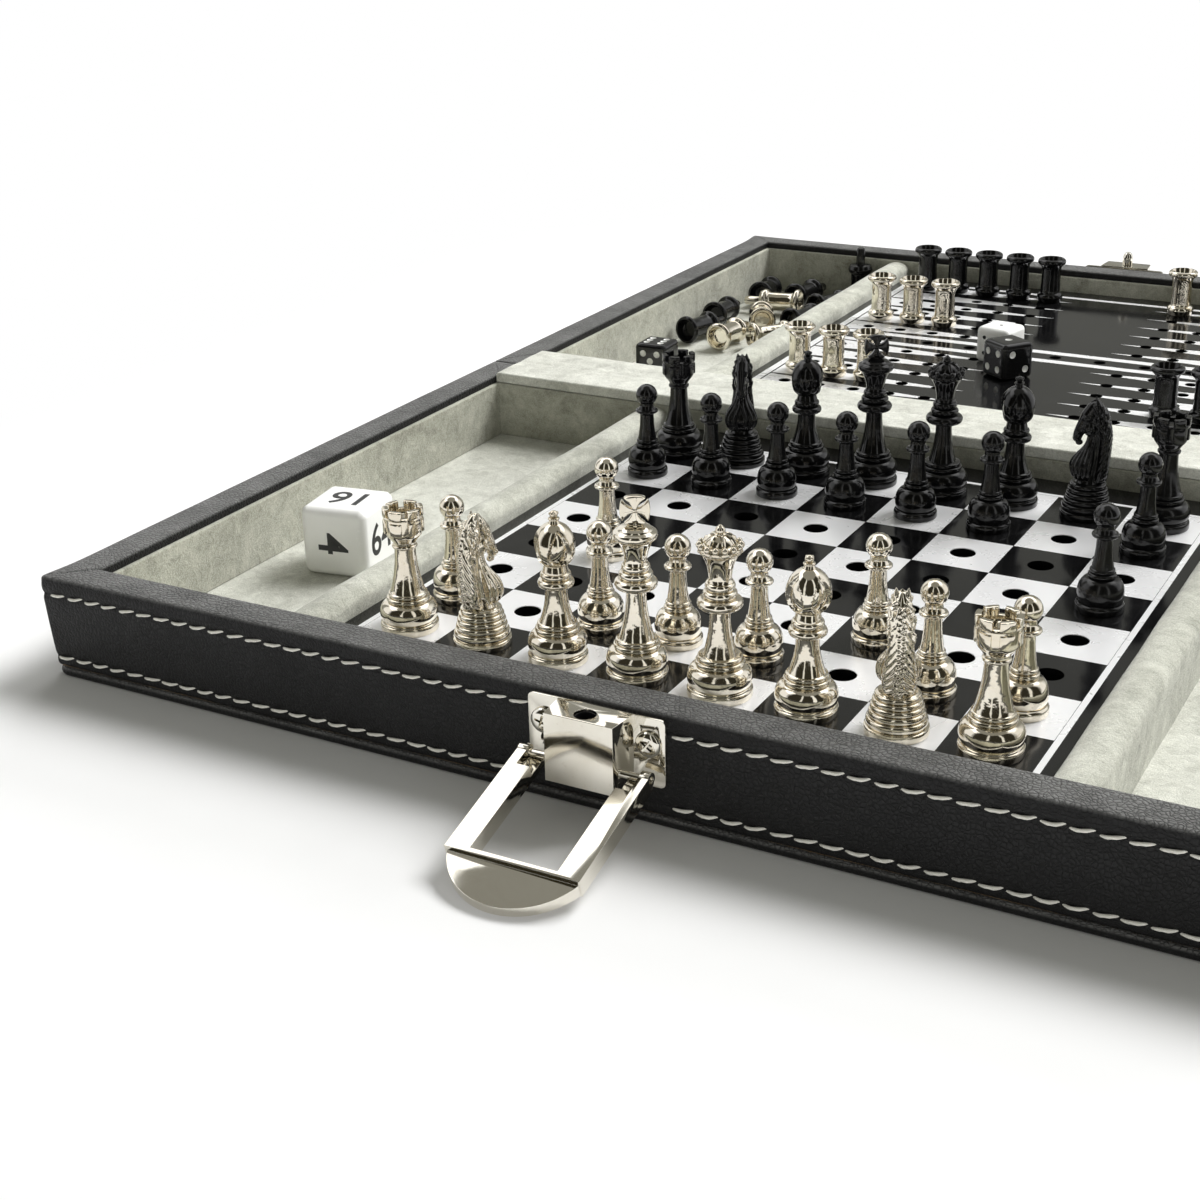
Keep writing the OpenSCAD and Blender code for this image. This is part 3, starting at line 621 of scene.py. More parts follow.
# Two-ply thread, each stitch rising out of one hole and into the next
def stitchPart(isFar):
    rng = random.Random(5)
    shape = Shape()
    x, y0, y1 = case["x"], case["y0"], case["y1"]
    half = x - stitch["gap"]
    runs = [((-x, y1 - 1), (0, -1), (-1, 0), y1 - y0 - 1), ((-x, y0), (1, 0), (0, -1), half),
            ((stitch["gap"], y0), (1, 0), (0, -1), half), ((x, y0), (0, 1), (1, 0), y1 - y0 - 1)]
    for start, t, out, length in runs:
        count = round((length - 2 * stitch["start"] + 0.9) / stitch["pitch"])
        pitch = (length - 2 * stitch["start"] - stitch["length"]) / (count - 1)
        for row, slant in zip(stitchRow, (0.36, 0.28)):
            for i in range(count):
                s = stitch["start"] + i * pitch + rng.uniform(-0.15, 0.15)
                lean = (slant + rng.uniform(-0.1, 0.1)) * (-1 if isFar else 1)
                rise = rng.uniform(0.30, 0.42)
                pts, radii = [], []
                for u in (k / 9 for k in range(10)):
                    along, inner = s + stitch["length"] * u, min(u, 1 - u)
                    away = -0.45 + (rise + 0.45) * min(1, 3.2 * inner) ** 0.7
                    pts.append((start[0] + t[0] * along + out[0] * away, start[1] + t[1] * along + out[1] * away,
                                row + lean * (2 * u - 1) + 0.07 * sin(u * 6.3 + i)))
                    radii.append(stitch["r"] * (0.42 + 0.58 * min(1, 2.6 * inner)))
                shape.add(tube(pts, radii, 10, 0.85, 4.6, 0.16))
    return shape.verts, shape.faces


# The same part in the far tray
def mirrored(part):
    return [(v[0], 2 * case["hinge"] - v[1], v[2]) for v in part[0]], [f[::-1] for f in part[1]]


trays = (("near", "near_case", lambda part: part), ("far", "far_case", mirrored))
for side, body, flip in trays:
    for name, part, node in (("leather", wrapPart(), "leather_wrap"), ("base", basePart(), "base_cover")):
        piece(side + "_" + name, shapeMesh(side + "_" + name, flip(part), ["leather"], 50), body,
              [side + "_" + node])
    sewn = shapeMesh(side + "_stitching", flip(stitchPart(side == "far")), ["thread"], 60)
    piece(side + "_stitching", sewn, body, ())
print("stage: leather")

# Lining

lining = {"inY": 92.05, "midY": 87.9}
bar = {"dx": 4.0, "x": 90.25, "r": 4.75, "top": 23.2, "crown": 3.0, "low": 6.5}


# A padded bar: straight sides and a soft crown, slightly uneven along its length
def barPart(sign):
    n, rise = 90, [bar["low"], 12, 16.5]
    section = [(-1, z) for z in rise] + [
        (-cos(a), bar["top"] - bar["crown"] + bar["crown"] * sin(a) ** 0.9)
        for a in (pi * k / 20 for k in range(21))] + [(1, z) for z in reversed(rise)]
    verts = []
    for i in range(n + 1):
        y = -lining["inY"] + (lining["midY"] + lining["inY"]) * i / n
        for u, z in section:
            r = bar["r"] * (1 + 0.008 * sin(y * 0.21 + z) + 0.006 * sin(y * 0.057 + sign))
            verts.append((bar["dx"] + sign * bar["x"] + u * r, y,
                          z + (0.1 * sin(y * 0.13 + sign * 2) if z > 20 else 0)))
    return verts, ringFaces(n + 1, len(section), caps=True)


# Divider bars take a darker copy of the suede, painted shade
for side, body, flip in trays:
    for name, sign in (("left", -1), ("right", 1)):
        dress(side + "_" + name + "_divider", flip(barPart(sign)), "suede_bar_painted_shade", body, 60)
    # Wall linings take a darker, more olive copy of the suede, painted shade
    soften(side + "_wall_lining", body, "suede_painted_shade_wall", 0.4)


# One strip of lining over both inner walls and down their inner faces, kept thin
fold = {"y": 88.62, "low": 23.75, "top": 26.8, "r": 0.75, "end": 142.9}


def stripPart():
    r, y, top, low, end = fold["r"], fold["y"], fold["top"], fold["low"], fold["end"]
    middle = 2 * case["hinge"]
    half = [(y + 0.12, low), (y + 0.02, low + 0.1), (y, low + 0.4), (y - 0.03, 24.6), (y - 0.02, 25.4)]
    half += [(y + r - r * cos(a), top - r + r * sin(a))
             for a in (radians(7.5 * k) for k in range(13))]
    half += [(91 + k, top + 0.05 * sin(pi * min(1, k / 7))) for k in range(9)]
    half += [(100 + 0.25 * k, top - 0.1 * exp(-((3 - 0.25 * k) / 1.2) ** 2)) for k in range(13)]
    outer = half + [(middle - u, v) for u, v in reversed(half[:-1])]
    inner = [(y + 0.55, low), (y + 0.55, 24.8), (y + 0.57, 25.7), (y + 0.63, 26.02), (92, 26.3), (97, 26.3),
             (103, 26.3)]
    section = outer + [(middle - u, v) for u, v in inner] + inner[-2::-1]
    ends = [142.9, 142.8, 142.6, 142.2]
    xs = [-x for x in ends] + [-141.6 + 283.2 * i / 84 for i in range(85)] + ends[::-1]
    verts = []
    for x in xs:
        drop = 0.34 * max(0, 1 - (end - abs(x)) / 0.5) ** 2
        for k, (u, v) in enumerate(section):
            if k < len(outer):
                v += 0.05 * sin(x * 0.09 + u * 0.6) * (v > 26) - drop * (v > 26)
                u += 0.04 * sin(x * 0.13) * (v < 26)
            verts.append((x, u, v))
    return verts, ringFaces(len(xs), len(section), caps=True, inward=True)


strip = piece("hinge_lining", shapeMesh("hinge_lining", stripPart(), ["suede"], 60),
              None, ["near_hinge_strip", "far_hinge_strip"])
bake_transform(strip)
print("stage: lining")

# Clasp and keeper

loop = {"y": -109, "z": 13.8, "droop": 16, "tabSlope": 3.2, "tabFrom": 30.7, "pinHalf": 14.9}
edgeWidths = {"clasp_body": ("near_case", 0.22), "clasp_loop": ("loop", 0.42), "keeper_body": ("far_case", 0.22)}


# Slopes the tab's face down towards its tip
def tiltTab(mesh):
    droop, slope = radians(loop["droop"]), tan(radians(loop["tabSlope"]))
    for v in mesh.vertices:
        y, z = v.co.y / mm - loop["y"], v.co.z / mm - loop["z"]
        along = -(y * cos(droop) + z * sin(droop)) - loop["tabFrom"]
        if along > 0.05 and z * cos(droop) > y * sin(droop):
            v.co.z -= along * slope * cos(droop) * mm
            v.co.y += along * slope * sin(droop) * mm


for name, (body, width) in edgeWidths.items():
    o = soften(name, body, "nickel", width)
    if body == "loop":
        tiltTab(o.data)

screw = {"x": 12.3, "z": 19.2, "y": -104.2, "turn": 20, "low": (0.45, 0.17, 0.9), "high": (1.6, 0.3, 1.75)}


# Pan head with a crossed recess, and its plain shank
def screwPart():
    mesh, cutter = bpy.data.meshes.new("screw"), bpy.data.meshes.new("recess")
    verts, faces = lathe([(1.2, -7.6), (1.25, -7.4), (1.25, -0.05), (2.8, 0), (2.9, 0.12), (2.9, 0.3), (2.82, 0.62),
                          (2.55, 0.95), (2.15, 1.18), (1.7, 1.32), (1.2, 1.38), (0.6, 1.4)], 64)
    mesh.from_pydata(verts, [], faces)
    cross = Shape()
    for turn in (0, 90):
        slot = [(sx * l, sy * w, z) for z, w, l in (screw["low"], screw["high"])
                for sx, sy in ((-1, -1), (1, -1), (1, 1), (-1, 1))]
        cross.add((slot, ringFaces(2, 4, caps=True)), spin(turn))
    cutter.from_pydata(cross.verts, [], cross.faces)
    return asPart(cutAway(mesh, cutter, True))


def screwsPart():
    shape = setOut([screwPart()], [at(s * screw["x"], screw["y"], screw["z"], 0, 90) @ spin(screw["turn"] + 35 * s)
                                   for s in (-1, 1)])
    return shape.verts, shape.faces


dress("clasp_screws", screwsPart(), "nickel", "near_case", 32)
dress("keeper_screws", mirrored(screwsPart()), "nickel", "far_case", 32)

pinEnds = [(0.45, loop["pinHalf"]), (0.7, 14.75), (0.8, 14.5)]
pinPart = lathe([(r, -z) for r, z in pinEnds] + pinEnds[::-1], 40)
dress("clasp_pin", Shape().add(pinPart, shift(0, loop["y"], loop["z"]) @ spin(90, "Y")), "nickel", "near_case")
studPart = lathe([(1.5, -5), (1.5, 0), (1.85, 0.05), (1.9, 0.3), (1.9, 2.1)]
                 + bow(0.35, 2.2, 1.55, 2.55, 0, 84), 64)
dress("keeper_stud", Shape().add(studPart, at(0, 314.3, 26.6)), "nickel", "far_case", 30)

# Black-painted sleeve in the hole that takes the stud: painted shade for the dark depth of the hole
holeShadePart = lathe([(2.3, 17.05), (2.34, 17.2), (2.34, 24.3), (2.3, 24.35), (2.26, 24.3), (2.26, 17.6),
                  (2.1, 17.4)], 48)
piece("stud_hole_painted_shade", shapeMesh("stud_hole_painted_shade", Shape().add(holeShadePart, at(0, -108.3, 0)), ["black_paint"], 30),
      "near_case", ())
print("stage: clasp")

# Chess men

board = {"dx": 4.0, "dy": -4.5, "cell": 20.0, "z": 18.0, "farY": 208.075, "pitch": 12.2, "bar": 13.6}
pegPart = lathe([(2.35, -7.6), (2.6, -7.45), (2.95, -6.8), (2.95, 0.4)], 32)


def squareAt(i, j, turn=0):
    return at(board["dx"] + (i - 3.5) * board["cell"], board["dy"] + (j - 3.5) * board["cell"], board["z"], turn)


def foot(r):
    return ([(r - 0.3, 0), (r - 0.08, 0.08), (r, 0.3), (r, 1.5), (r - 0.05, 1.75), (r - 0.2, 1.95),
             (r - 0.42, 2.05), (r - 0.45, 2.3)]
            + bow(r - 2.2, 4.3, 2.15, 2.8, -42, 76, 18) + bead(r - 1.75, 7.15, 1.1, 0.4)
            + bead(r - 2.25, 8.3, 1, 0.35))


def kingPart():
    cup = flare([(2.75, 26.7), (2.5, 27.4), (2.6, 28.6), (3.0, 30), (3.5, 31.2), (4.1, 32.1), (4.5, 32.4)])
    dome = [(4.35, 34.15), (4.1, 34.3)] + bow(0, 34.2, 3.9, 1.45, 8, 72, 10)
    body = lathe(foot(6.9) + hollow(3.9, 9.4, 2.2, 20.5) + [(2.9, 20.75), (3.5, 20.95)]
                 + bead(4.75, 21, 2.3, 1.15, 14) + bead(3.7, 23.4, 1.6, 0.55) + bead(3.15, 25.1, 1.5, 0.45)
                 + cup + bead(4.85, 32.45, 1.65, 0.5) + dome)
    arm = [(-0.4, 0.4), (-0.75, 1.15), (-1.3, 1.95), (-2.35, 2.8), (-1.5, 3.12), (-0.5, 3.28), (0.5, 3.28),
           (1.5, 3.12), (2.35, 2.8), (1.3, 1.95), (0.75, 1.15)]
    outline = [spin(-90 * q) @ Vector((x, z, 0)) for q in range(4) for x, z in arm]
    verts = [(p.x, y, 38.75 + p.y) for y in (-0.85, 0.85) for p in outline]
    cross = rounded(verts, ringFaces(2, len(outline), caps=True), 0.22, 0.6)
    stalk = lathe([(1.5, 35.1), (1.15, 35.4), (0.9, 35.9), (1.1, 36.4)], 24)
    return [body, cross, stalk, ball((0, 0, 38.75), (0.8, 1.05, 0.8), 16, 8)]


def queenPart():
    cup = flare([(2.85, 26.2), (2.5, 26.8), (2.55, 28), (2.85, 29.6), (3.4, 31.1), (4.0, 32.2), (4.35, 32.6)])
    dome = [(4.4, 34.1), (4.0, 34.35)] + bow(0, 34.3, 3.35, 2.4, 6, 68, 10) + bead(1.35, 36.55, 0.4, 0.25)
    body = lathe(foot(7.15) + hollow(3.7, 9.4, 2.15, 19.6) + [(2.9, 19.9), (3.6, 20.05)]
                 + bead(4.95, 20.1, 2.4, 1.2, 14) + bead(3.7, 22.6, 1.6, 0.55) + bead(3.25, 24.3, 1.7, 0.5)
                 + cup + bead(4.7, 32.6, 1.4, 0.35) + dome)
    parts = [body, ball((0, 0, 37.4), 1.1, 24, 14), lathe([(0.55, 38.3), (0.42, 38.55), (0.2, 38.7)], 16)]
    for k in range(28):  # pearls, large and small by turns
        a, (r, z, size) = pi * k / 14, ((4.38, 34.25, (0.74, 0.74, 0.82)), (4.5, 33.2, (0.42, 0.42, 0.5)))[k % 2]
        parts.append(ball((r * cos(a), r * sin(a), z), size, *((10, 6) if k % 2 else (14, 8))))
    for k in range(7):  # ribs of the crown
        a, pts = 2 * pi * k / 7, []
        for t in (0, 0.25, 0.5, 0.75, 1):
            r = (3.3 - 0.12 * t * t * 7) * (1 - t * 0.55)
            pts.append((r * cos(a), r * sin(a), 34.9 + 1.7 * sin(t * 1.5)))
        parts.append(tube(pts, [0.42, 0.5, 0.48, 0.4, 0.25], 8))
    return parts


# Mitre with four hollowed windows; dent gives how far a point lies inside one
def bishopPart():
    def dent(z, off):
        t = (z - 23.7) / 8.0
        if not 0 < t < 1:
            return 0
        d = (2.9 * sin(pi * t ** 0.62) ** 0.9 - abs(off)) / 0.5
        d = max(0, min(1, d))
        return d * d * (3 - 2 * d)

    head = bow(0, 27, 4.8, 4.9, -58, 0, 20)[:-1] + bow(0, 27, 4.8, 5.8, 0, 74, 34)
    outline = (foot(6.8) + hollow(3.95, 9.4, 2.45, 17.4) + [(2.9, 17.6), (3.3, 17.72)]
               + bead(4.1, 17.75, 1.9, 0.9, 12) + bead(3.45, 19.75, 1.5, 0.5)
               + [(2.95, 21.35), (2.8, 21.8), (2.65, 22.5)] + head)
    verts, faces = lathe(outline, 112)
    for i, (x, y, z) in enumerate(verts):
        r = hypot(x, y)
        if z > 23 and r > 0.5:
            a = degrees(atan2(y, x)) % 90 - 45
            k = 1 - 0.85 * dent(z, radians(a) * r) / r
            verts[i] = (x * k, y * k, z)
    top = lathe([(1.5, 32.4), (1.15, 32.8), (1.0, 33.25)] + bead(1.3, 33.3, 0.5, 0.3) + [(0.7, 33.85)]
                + bow(0, 34.55, 0.95, 0.85, -60, 80), 32)
    knobs = [ball((0.72 * cos(a), 0.72 * sin(a), 34.75), 0.42, 10, 6)
             for a in (radians(45 + 90 * k) for k in range(4))]
    return [(verts, faces), top] + knobs


def rookPart():
    wall = flare([(2.65, 21.1), (2.75, 21.6), (3.3, 22.4), (4.0, 23.3), (4.35, 24.3), (4.42, 25.6), (4.42, 27.6)])
    rim = [(4.6, 27.75), (4.7, 28.0), (4.6, 28.25), (4.3, 28.35), (3.6, 28.35), (3.42, 28.3), (3.4, 28.1),
           (3.4, 27.5), (3.2, 27.4)]
    parts = [lathe(foot(6.8) + hollow(4.1, 9.4, 2.45, 20) + bead(2.95, 20.05, 1, 0.45) + wall + rim)]
    for a in range(30, 390, 60):
        parts.append(arcBlock(3.4, 4.72, 27.9, 30.0, a - 21, a + 21, 0.22))
        parts.append(arcBlock(4.15, 4.74, 24.1, 27.1, a - 20, a + 20, 0.2))
    return parts


def pawnPart():
    return [lathe([(5.4, 0), (5.62, 0.08), (5.7, 0.3), (5.7, 1.5), (5.62, 1.75), (5.4, 1.95), (5.3, 2.05),
                   (5.3, 2.25)]
                  + bow(3.1, 4.4, 2.35, 3.7, -36, 80, 20) + bead(3.3, 8.2, 1.1, 0.45) + bead(2.95, 9.4, 1, 0.4)
                  + hollow(2.6, 10.4, 1.9, 17.6) + [(2.2, 17.9), (2.5, 18.05)] + bead(3.15, 18.1, 1.1, 0.7, 10)
                  + [(2.3, 19.4), (2.05, 19.8), (1.95, 20.3)] + bow(0, 23.2, 3, 3, -50, 86, 20), 64)]


# Stacked ellipses, each given as (height, middle in X, half width in X, half width in Y)
def loft(sections, steps=36):
    verts = [(cx + rx * cos(a), ry * sin(a), z) for z, cx, rx, ry in sections
             for a in (2 * pi * k / steps for k in range(steps))]
    return verts, ringFaces(len(sections), steps, caps=True)


# A loft's section at a height
def level(sections, z):
    for a, b in zip(sections, sections[1:]):
        if z <= b[0]:
            t = max(0, (z - a[0]) / (b[0] - a[0]))
            return [p + (q - p) * t for p, q in zip(a, b)]
    return list(sections[-1])


# A point on a loft, at a height, an angle and so far proud of it
def onLoft(sections, z, degrees, proud, side=1):
    _, cx, rx, ry = level(sections, z)
    a = radians(degrees)
    return cx + (rx + proud) * cos(a), (ry + proud) * sin(a) * side, z


def taper(points, radius, low=0.12):
    n = len(points) - 1
    return [radius * sin(pi * (low + (0.96 - low) * k / n)) ** 0.5 for k in range(n + 1)]


# Horse's head and neck on a ringed foot: fluted chest, roped mane, braided crest. All is fused and smoothed.
def knightPart():
    chest = flare([(10.0, 1.3, 1.2, 2.0), (10.7, 1.6, 2.1, 3.1), (11.8, 1.8, 2.6, 3.9), (13.4, 1.95, 2.75, 4.2),
                   (15.2, 1.6, 2.55, 3.8), (17.2, 0.7, 1.95, 2.6), (19.2, 0.0, 1.35, 1.7), (21.2, -0.3, 1.2, 1.4),
                   (23.0, -0.2, 1.2, 1.4)], 5)
    mane = flare([(9.2, -2.0, 2.0, 2.5), (11.0, -2.5, 1.9, 2.9), (13.5, -2.9, 1.7, 3.1), (16.0, -3.1, 1.6, 2.8),
                  (19.0, -3.2, 1.6, 2.4), (22.0, -3.1, 1.7, 2.1), (25.0, -2.4, 1.9, 2.0), (28.0, -1.5, 2.0, 1.8),
                  (30.0, -0.9, 1.6, 1.4), (31.3, -0.6, 0.8, 0.7)], 5)
    core = flare([(8.9, 0, 3.7, 3.6), (10.2, -0.2, 3.2, 3.0), (12.0, -0.3, 2.8, 2.4), (16.0, -1.0, 2.0, 1.8),
                  (20.0, -1.4, 1.6, 1.5), (25.0, -0.9, 2.0, 1.6), (28.5, -0.4, 1.8, 1.5)])
    forms = [loft(chest), loft(mane), loft(core)]
    head = [(0.1, 28.8, 2.1, 1.75), (1.1, 27.2, 2.1, 1.75), (1.9, 25.5, 1.85, 1.55), (2.7, 24.0, 1.6, 1.3),
            (3.4, 22.5, 1.35, 1.15), (3.7, 21.3, 1.2, 1.15)]
    for a, b in zip(head, head[1:]):
        for k in range(3):
            x, z, rx, ry = (p + (q - p) * k / 3 for p, q in zip(a, b))
            forms.append(ball((x, 0, z), (rx, ry, rx)))
    forms.append(ball((3.7, 0, 21.3), (1.2, 1.15, 1.2)))
    forms.append(ball((3.1, 0, 20.0), (0.95, 0.85, 0.8)))  # lip
    rng = random.Random(11)
    for s in (-1, 1):
        forms.append(ball((0.6, 0.85 * s, 23.9), (1.8, 1.2, 2.0)))  # cheek
        forms.append(ball((1.9, 1.45 * s, 26.5), (0.6, 0.4, 0.5)))  # eye
        forms.append(tube([(1.1, 1.35 * s, 27.4), (2.1, 1.6 * s, 27.25), (2.8, 1.3 * s, 26.3)],
                          [0.2, 0.36, 0.2], 8))
        forms.append(ball((4.2, 0.85 * s, 21.6), (0.55, 0.5, 0.6)))  # nostril
        forms.append(tube([(3.0, 1.1 * s, 24.2), (3.6, 1.1 * s, 22.9), (4.2, 0.9 * s, 21.9)], [0.2, 0.26, 0.2], 8))
        forms.append(tube([(-0.9, 0.8 * s, 29.0), (-0.9, 1.2 * s, 30.6), (-0.5, 1.25 * s, 32.1)], [0.9, 0.7, 0.15]))
        for a in (14, 39, 64, 89, 114):  # flutes of the chest
            pts = [onLoft(chest, 10.5 + 11.6 * k / 12, (a + 9 * sin(k * 0.5)) * s, 0.12) for k in range(13)]
            forms.append(tube(pts, [r * (1 - 0.4 * k / 12) for k, r in enumerate(taper(pts, 0.58, 0.1))]))
        for k in range(9):  # ropes of the mane
            z = 28.4 - 2.15 * k
            _, cx, rx, _ = level(mane, z)
            drop = min(9.0, z - 9.5)
            pts = flare([(cx - rx * 0.96, 0.45 * s, z + 0.5)]
                        + [onLoft(mane, z - drop * u, b, 0.1, s)
                           for u, b in ((0.18, 150), (0.4, 122), (0.62, 98), (0.82, 76), (1.0, 58))], 5)
            forms.append(tube(pts, taper(pts, 0.5), 8, 0.9))
        for k in range(16):  # locks over the head
            z = 22.8 + 8.0 * k / 15
            _, cx, rx, ry = level(mane, z)
            b = radians(rng.uniform(50, 150))
            out = rng.uniform(0.5, 1.1)
            p = Vector((cx + rx * cos(b) * 0.9, ry * sin(b) * 0.9 * s, z))
            tip = p + Vector((rng.uniform(-1.3, 0.9), out * s, -rng.uniform(1.6, 2.6)))
            mid = (p + tip) / 2 + Vector((0, 0.45 * s, 0.35))
            forms.append(tube([p, mid, tip], [0.55, 0.5, 0.12], 7))
    for y, up in ((-0.7, 0.1), (0, 0.5), (0.7, 0.0)):  # forelock
        pts = flare([(-0.8, y * 0.6, 30.9 + up), (0.5, y, 30.5 + up), (1.5, y * 1.4, 29.2),
                     (2.3, y * 1.5, 27.9)], 5)
        forms.append(tube(pts, [0.5 - 0.38 * k / (len(pts) - 1) for k in range(len(pts))], 8))
    for strand in range(3):  # braided crest
        pts = []
        for z in (9.4 + 19 * k / 59 for k in range(60)):
            _, cx, rx, _ = level(mane, z)
            turn = 2 * pi * (z / 3.4 + strand / 3)
            pts.append((cx - rx - 0.05 - 0.22 * cos(2 * turn), 0.78 * sin(turn), z))
        forms.append(tube(pts, [0.36] * len(pts), 7))
    whole = setOut(forms, [Matrix()])
    mesh = bpy.data.meshes.new("knight")
    mesh.from_pydata([tuple(v) for v in whole.verts], [], whole.faces)
    o = placed("knight", mesh)
    skin = o.modifiers.new("skin", "REMESH")
    skin.mode, skin.voxel_size, skin.use_smooth_shade = "VOXEL", 0.17, True
    ease = o.modifiers.new("ease", "SMOOTH")
    ease.factor, ease.iterations = 0.5, 2
    rings = [(6.5, 0), (6.72, 0.08), (6.8, 0.3), (6.8, 1.5), (6.7, 1.75), (6.45, 1.9)]
    for r, z, h in ((6.45, 1.95, 1.8), (5.95, 3.8, 1.5), (5.6, 5.35, 1.3), (5.25, 6.7, 1.2), (4.8, 7.95, 1.2)):
        rings += bead(r, z, h, 0.5)
    return [lathe(rings + [(4.4, 9.2), (4.1, 9.4)]), asPart(finalMesh(o))]


# Each kind's part, with the file, rank and turn of its silver and its black men
men = {
    "king": (kingPart, [(3, 0, 28)], [(3, 7, 28)]),
    "queen": (queenPart, [(4, 0, 0)], [(4, 7, 0)]),
    "bishops": (bishopPart, [(2, 0, 0), (5, 0, 200)], [(2, 7, 150), (5, 7, 160)]),
    "knights": (knightPart, [(1, 0, 65), (6, 0, 112)], [(1, 7, 290), (6, 7, 200)]),
    "rooks": (rookPart, [(0, 0, 10), (7, 0, 40)], [(0, 7, 10), (7, 7, 40)]),
    "pawns": (pawnPart, [(0, 1, 0), (1, 3, 0), (2, 1, 0), (3, 1, 0), (4, 1, 0), (5, 2, 0), (6, 1, 0), (7, 1, 0)],
              [(i, 6, 0) for i in (0, 1, 2, 3, 4, 5, 7)] + [(7, 4, 0)]),
}
for kind, (makeParts, *squares) in men.items():
    parts = makeParts()
    for tint, finish, taken in zip(("silver", "black"), ("nickel_men", "black_men"), squares):
        node = tint + "_" + kind
        dress(node, setOut([pegPart] + parts, [squareAt(*q) for q in taken]), finish, node + "_body", 32)
print("stage: men")

# Counters, dice and cube

waist = flare([(3.85, 3.35), (3.62, 3.8), (3.55, 6), (3.5, 9), (3.52, 11.5), (3.7, 12.9), (4.3, 13.7),
               (4.85, 14.2)], 3)
counterPart = lathe([(1.2, -6.6), (1.45, -6.45), (1.7, -5.9), (1.7, -0.1), (3.8, 0), (4.1, 0.12), (4.3, 0.5)]
                    + bow(3.75, 1.9, 0.95, 1.3, -34, 62, 10) + waist + bow(4.75, 14.9, 0.35, 0.75, -50, 80, 8)
                    + [(4.6, 15.85), (4.3, 16.0), (4.05, 15.98), (3.85, 15.7), (3.5, 14.4), (3.1, 13.4),
                       (2.7, 13.05)], 56)


def rowPlaces(side, j, count):
    y = board["farY"] + (j - 5.5) * board["pitch"] + (-1 if j < 6 else 1) * board["bar"] / 2
    return [at(board["dx"] + side * (72 - 12 * k), y, board["z"]) for k in range(count)]


def lying(*places):
    return [at(x, y, 11.6, turn, 88.4) @ shift(0, 0, -8) for x, y, turn in places]


counters = {
    "silver_counters": rowPlaces(-1, 7, 3) + rowPlaces(-1, 2, 3) + rowPlaces(1, 11, 5),
    "black_counters": rowPlaces(-1, 11, 5) + rowPlaces(1, 2, 3),
    "silver_spare_counters": lying((-120, 213, -4), (-105, 217.5, -38), (-118.5, 240, 26), (-121, 263.6, 96)),
    "black_spare_counters": lying((-134, 217, -12), (-135.7, 241, 2), (-103.5, 244, -14), (-102.5, 268, -22),
                                  (-133.6, 277.5, 6), (-118, 280, -8)) + [at(-99, 291, 22.5, 0, 180)],
}
for node, places in counters.items():
    finish = "nickel_men" if node.startswith("silver") else "black_men"
    dress(node, setOut([counterPart], places), finish, node + "_body", 34)


# Cube with rounded edges, on its base
def roundCube(a, r, n=5):
    h = a / 2
    steps = [-h + r - r * tan(pi / 4 * (1 - k / n)) for k in range(n + 1)]
    steps += [-h + r + (a - 2 * r) * k / 4 for k in range(1, 5)] + [-s for s in reversed(steps[:-1])]
    m = len(steps)
    verts, faces = [], []
    for axis in range(3):
        for sign in (-1, 1):
            first = len(verts)
            for u, v in ((u, v) for u in steps for v in steps):
                p = [0, 0, 0]
                p[axis], p[(axis + 1) % 3], p[(axis + 2) % 3] = sign * h, u, v
                core = Vector([max(-h + r, min(h - r, c)) for c in p])
                p = core + (Vector(p) - core).normalized() * r
                verts.append((p.x, p.y, p.z + h))
            for q in (first + i * m + j for i in range(m - 1) for j in range(m - 1)):
                faces.append((q, q + m, q + m + 1, q + 1)[::sign])
    return verts, faces


def spots(n):
    s = [(0, 0)] if n % 2 else []
    s += [(-1, 1), (1, -1)] if n > 1 else []
    s += [(-1, -1), (1, 1)] if n > 3 else []
    return s + ([(-1, 0), (1, 0)] if n == 6 else [])


# The middle of a cube's face, with Z outwards
def faceFrame(a, k):
    tip, turn = ((0, 0), (90, 0), (90, 90), (90, 180), (90, 270), (180, 0))[k]
    return shift(0, 0, a / 2) @ spin(turn) @ spin(tip, "X") @ shift(0, 0, a / 2)


die = {"size": 12.0, "round": 1.7, "spotStep": 2.64}


# A die: hollows are cut in its faces and painted
def dieMesh(name, faces, r, place, finish, spotFinish):
    step, cuts = die["spotStep"], Shape()
    for k, count in enumerate(faces):
        for u, v in spots(count):
            cuts.add(ball((0, 0, 0), r, 28, 14), faceFrame(die["size"], k) @ shift(u * step, v * step, r * 0.55), 1)
    made = cutAway(shapeMesh(name, roundCube(die["size"], die["round"]), [finish, spotFinish], 60),
                   shapeMesh(name + "_cut", cuts, [spotFinish, spotFinish], 60))
    made.transform(Matrix.Scale(mm, 4) @ place @ Matrix.Scale(mm, 4).inverted())
    made.set_sharp_from_angle(angle=radians(28))
    return made


dice = {
    "white_die": ([1, 4, 2, 3, 5, 6], 0.8, at(-12, 197.575, 18.02, -14), "white_dice", "black_paint"),
    "black_die": ([1, 2, 3, 5, 4, 6], 1.4, at(-4.3, 181.175, 18.02, 54), "black_dice", "white_paint"),
    "spare_die": ([6, 5, 3, 2, 4, 1], 1.4, at(-127.5, 170.5, 6.52, 2), "black_dice", "white_paint"),
}
for node, values in dice.items():
    piece(node + "_shape", dieMesh(node, *values), node + "_body", [node])

cube = {"size": 19.0, "round": 2.3, "place": (-119, -25.5, 6.5, 9), "text": 12.2,
        "numbers": [("16", 180), ("4", -90), ("64", 0), ("8", 0), ("2", 90), ("32", 0)]}


# A number as a thin plate of paint, about its middle
def numeral(text):
    curve = bpy.data.curves.new(text, "FONT")
    curve.body, curve.size, curve.extrude, curve.offset, curve.resolution_u = text, cube["text"], 0.04, 0.15, 6
    curve.align_x = curve.align_y = "CENTER"
    verts, faces = asPart(finalMesh(placed(text, curve)))
    mid = [(min(c) + max(c)) / 2 for c in list(zip(*verts))[:2]]
    return [(x - mid[0], y - mid[1], z) for x, y, z in verts], faces


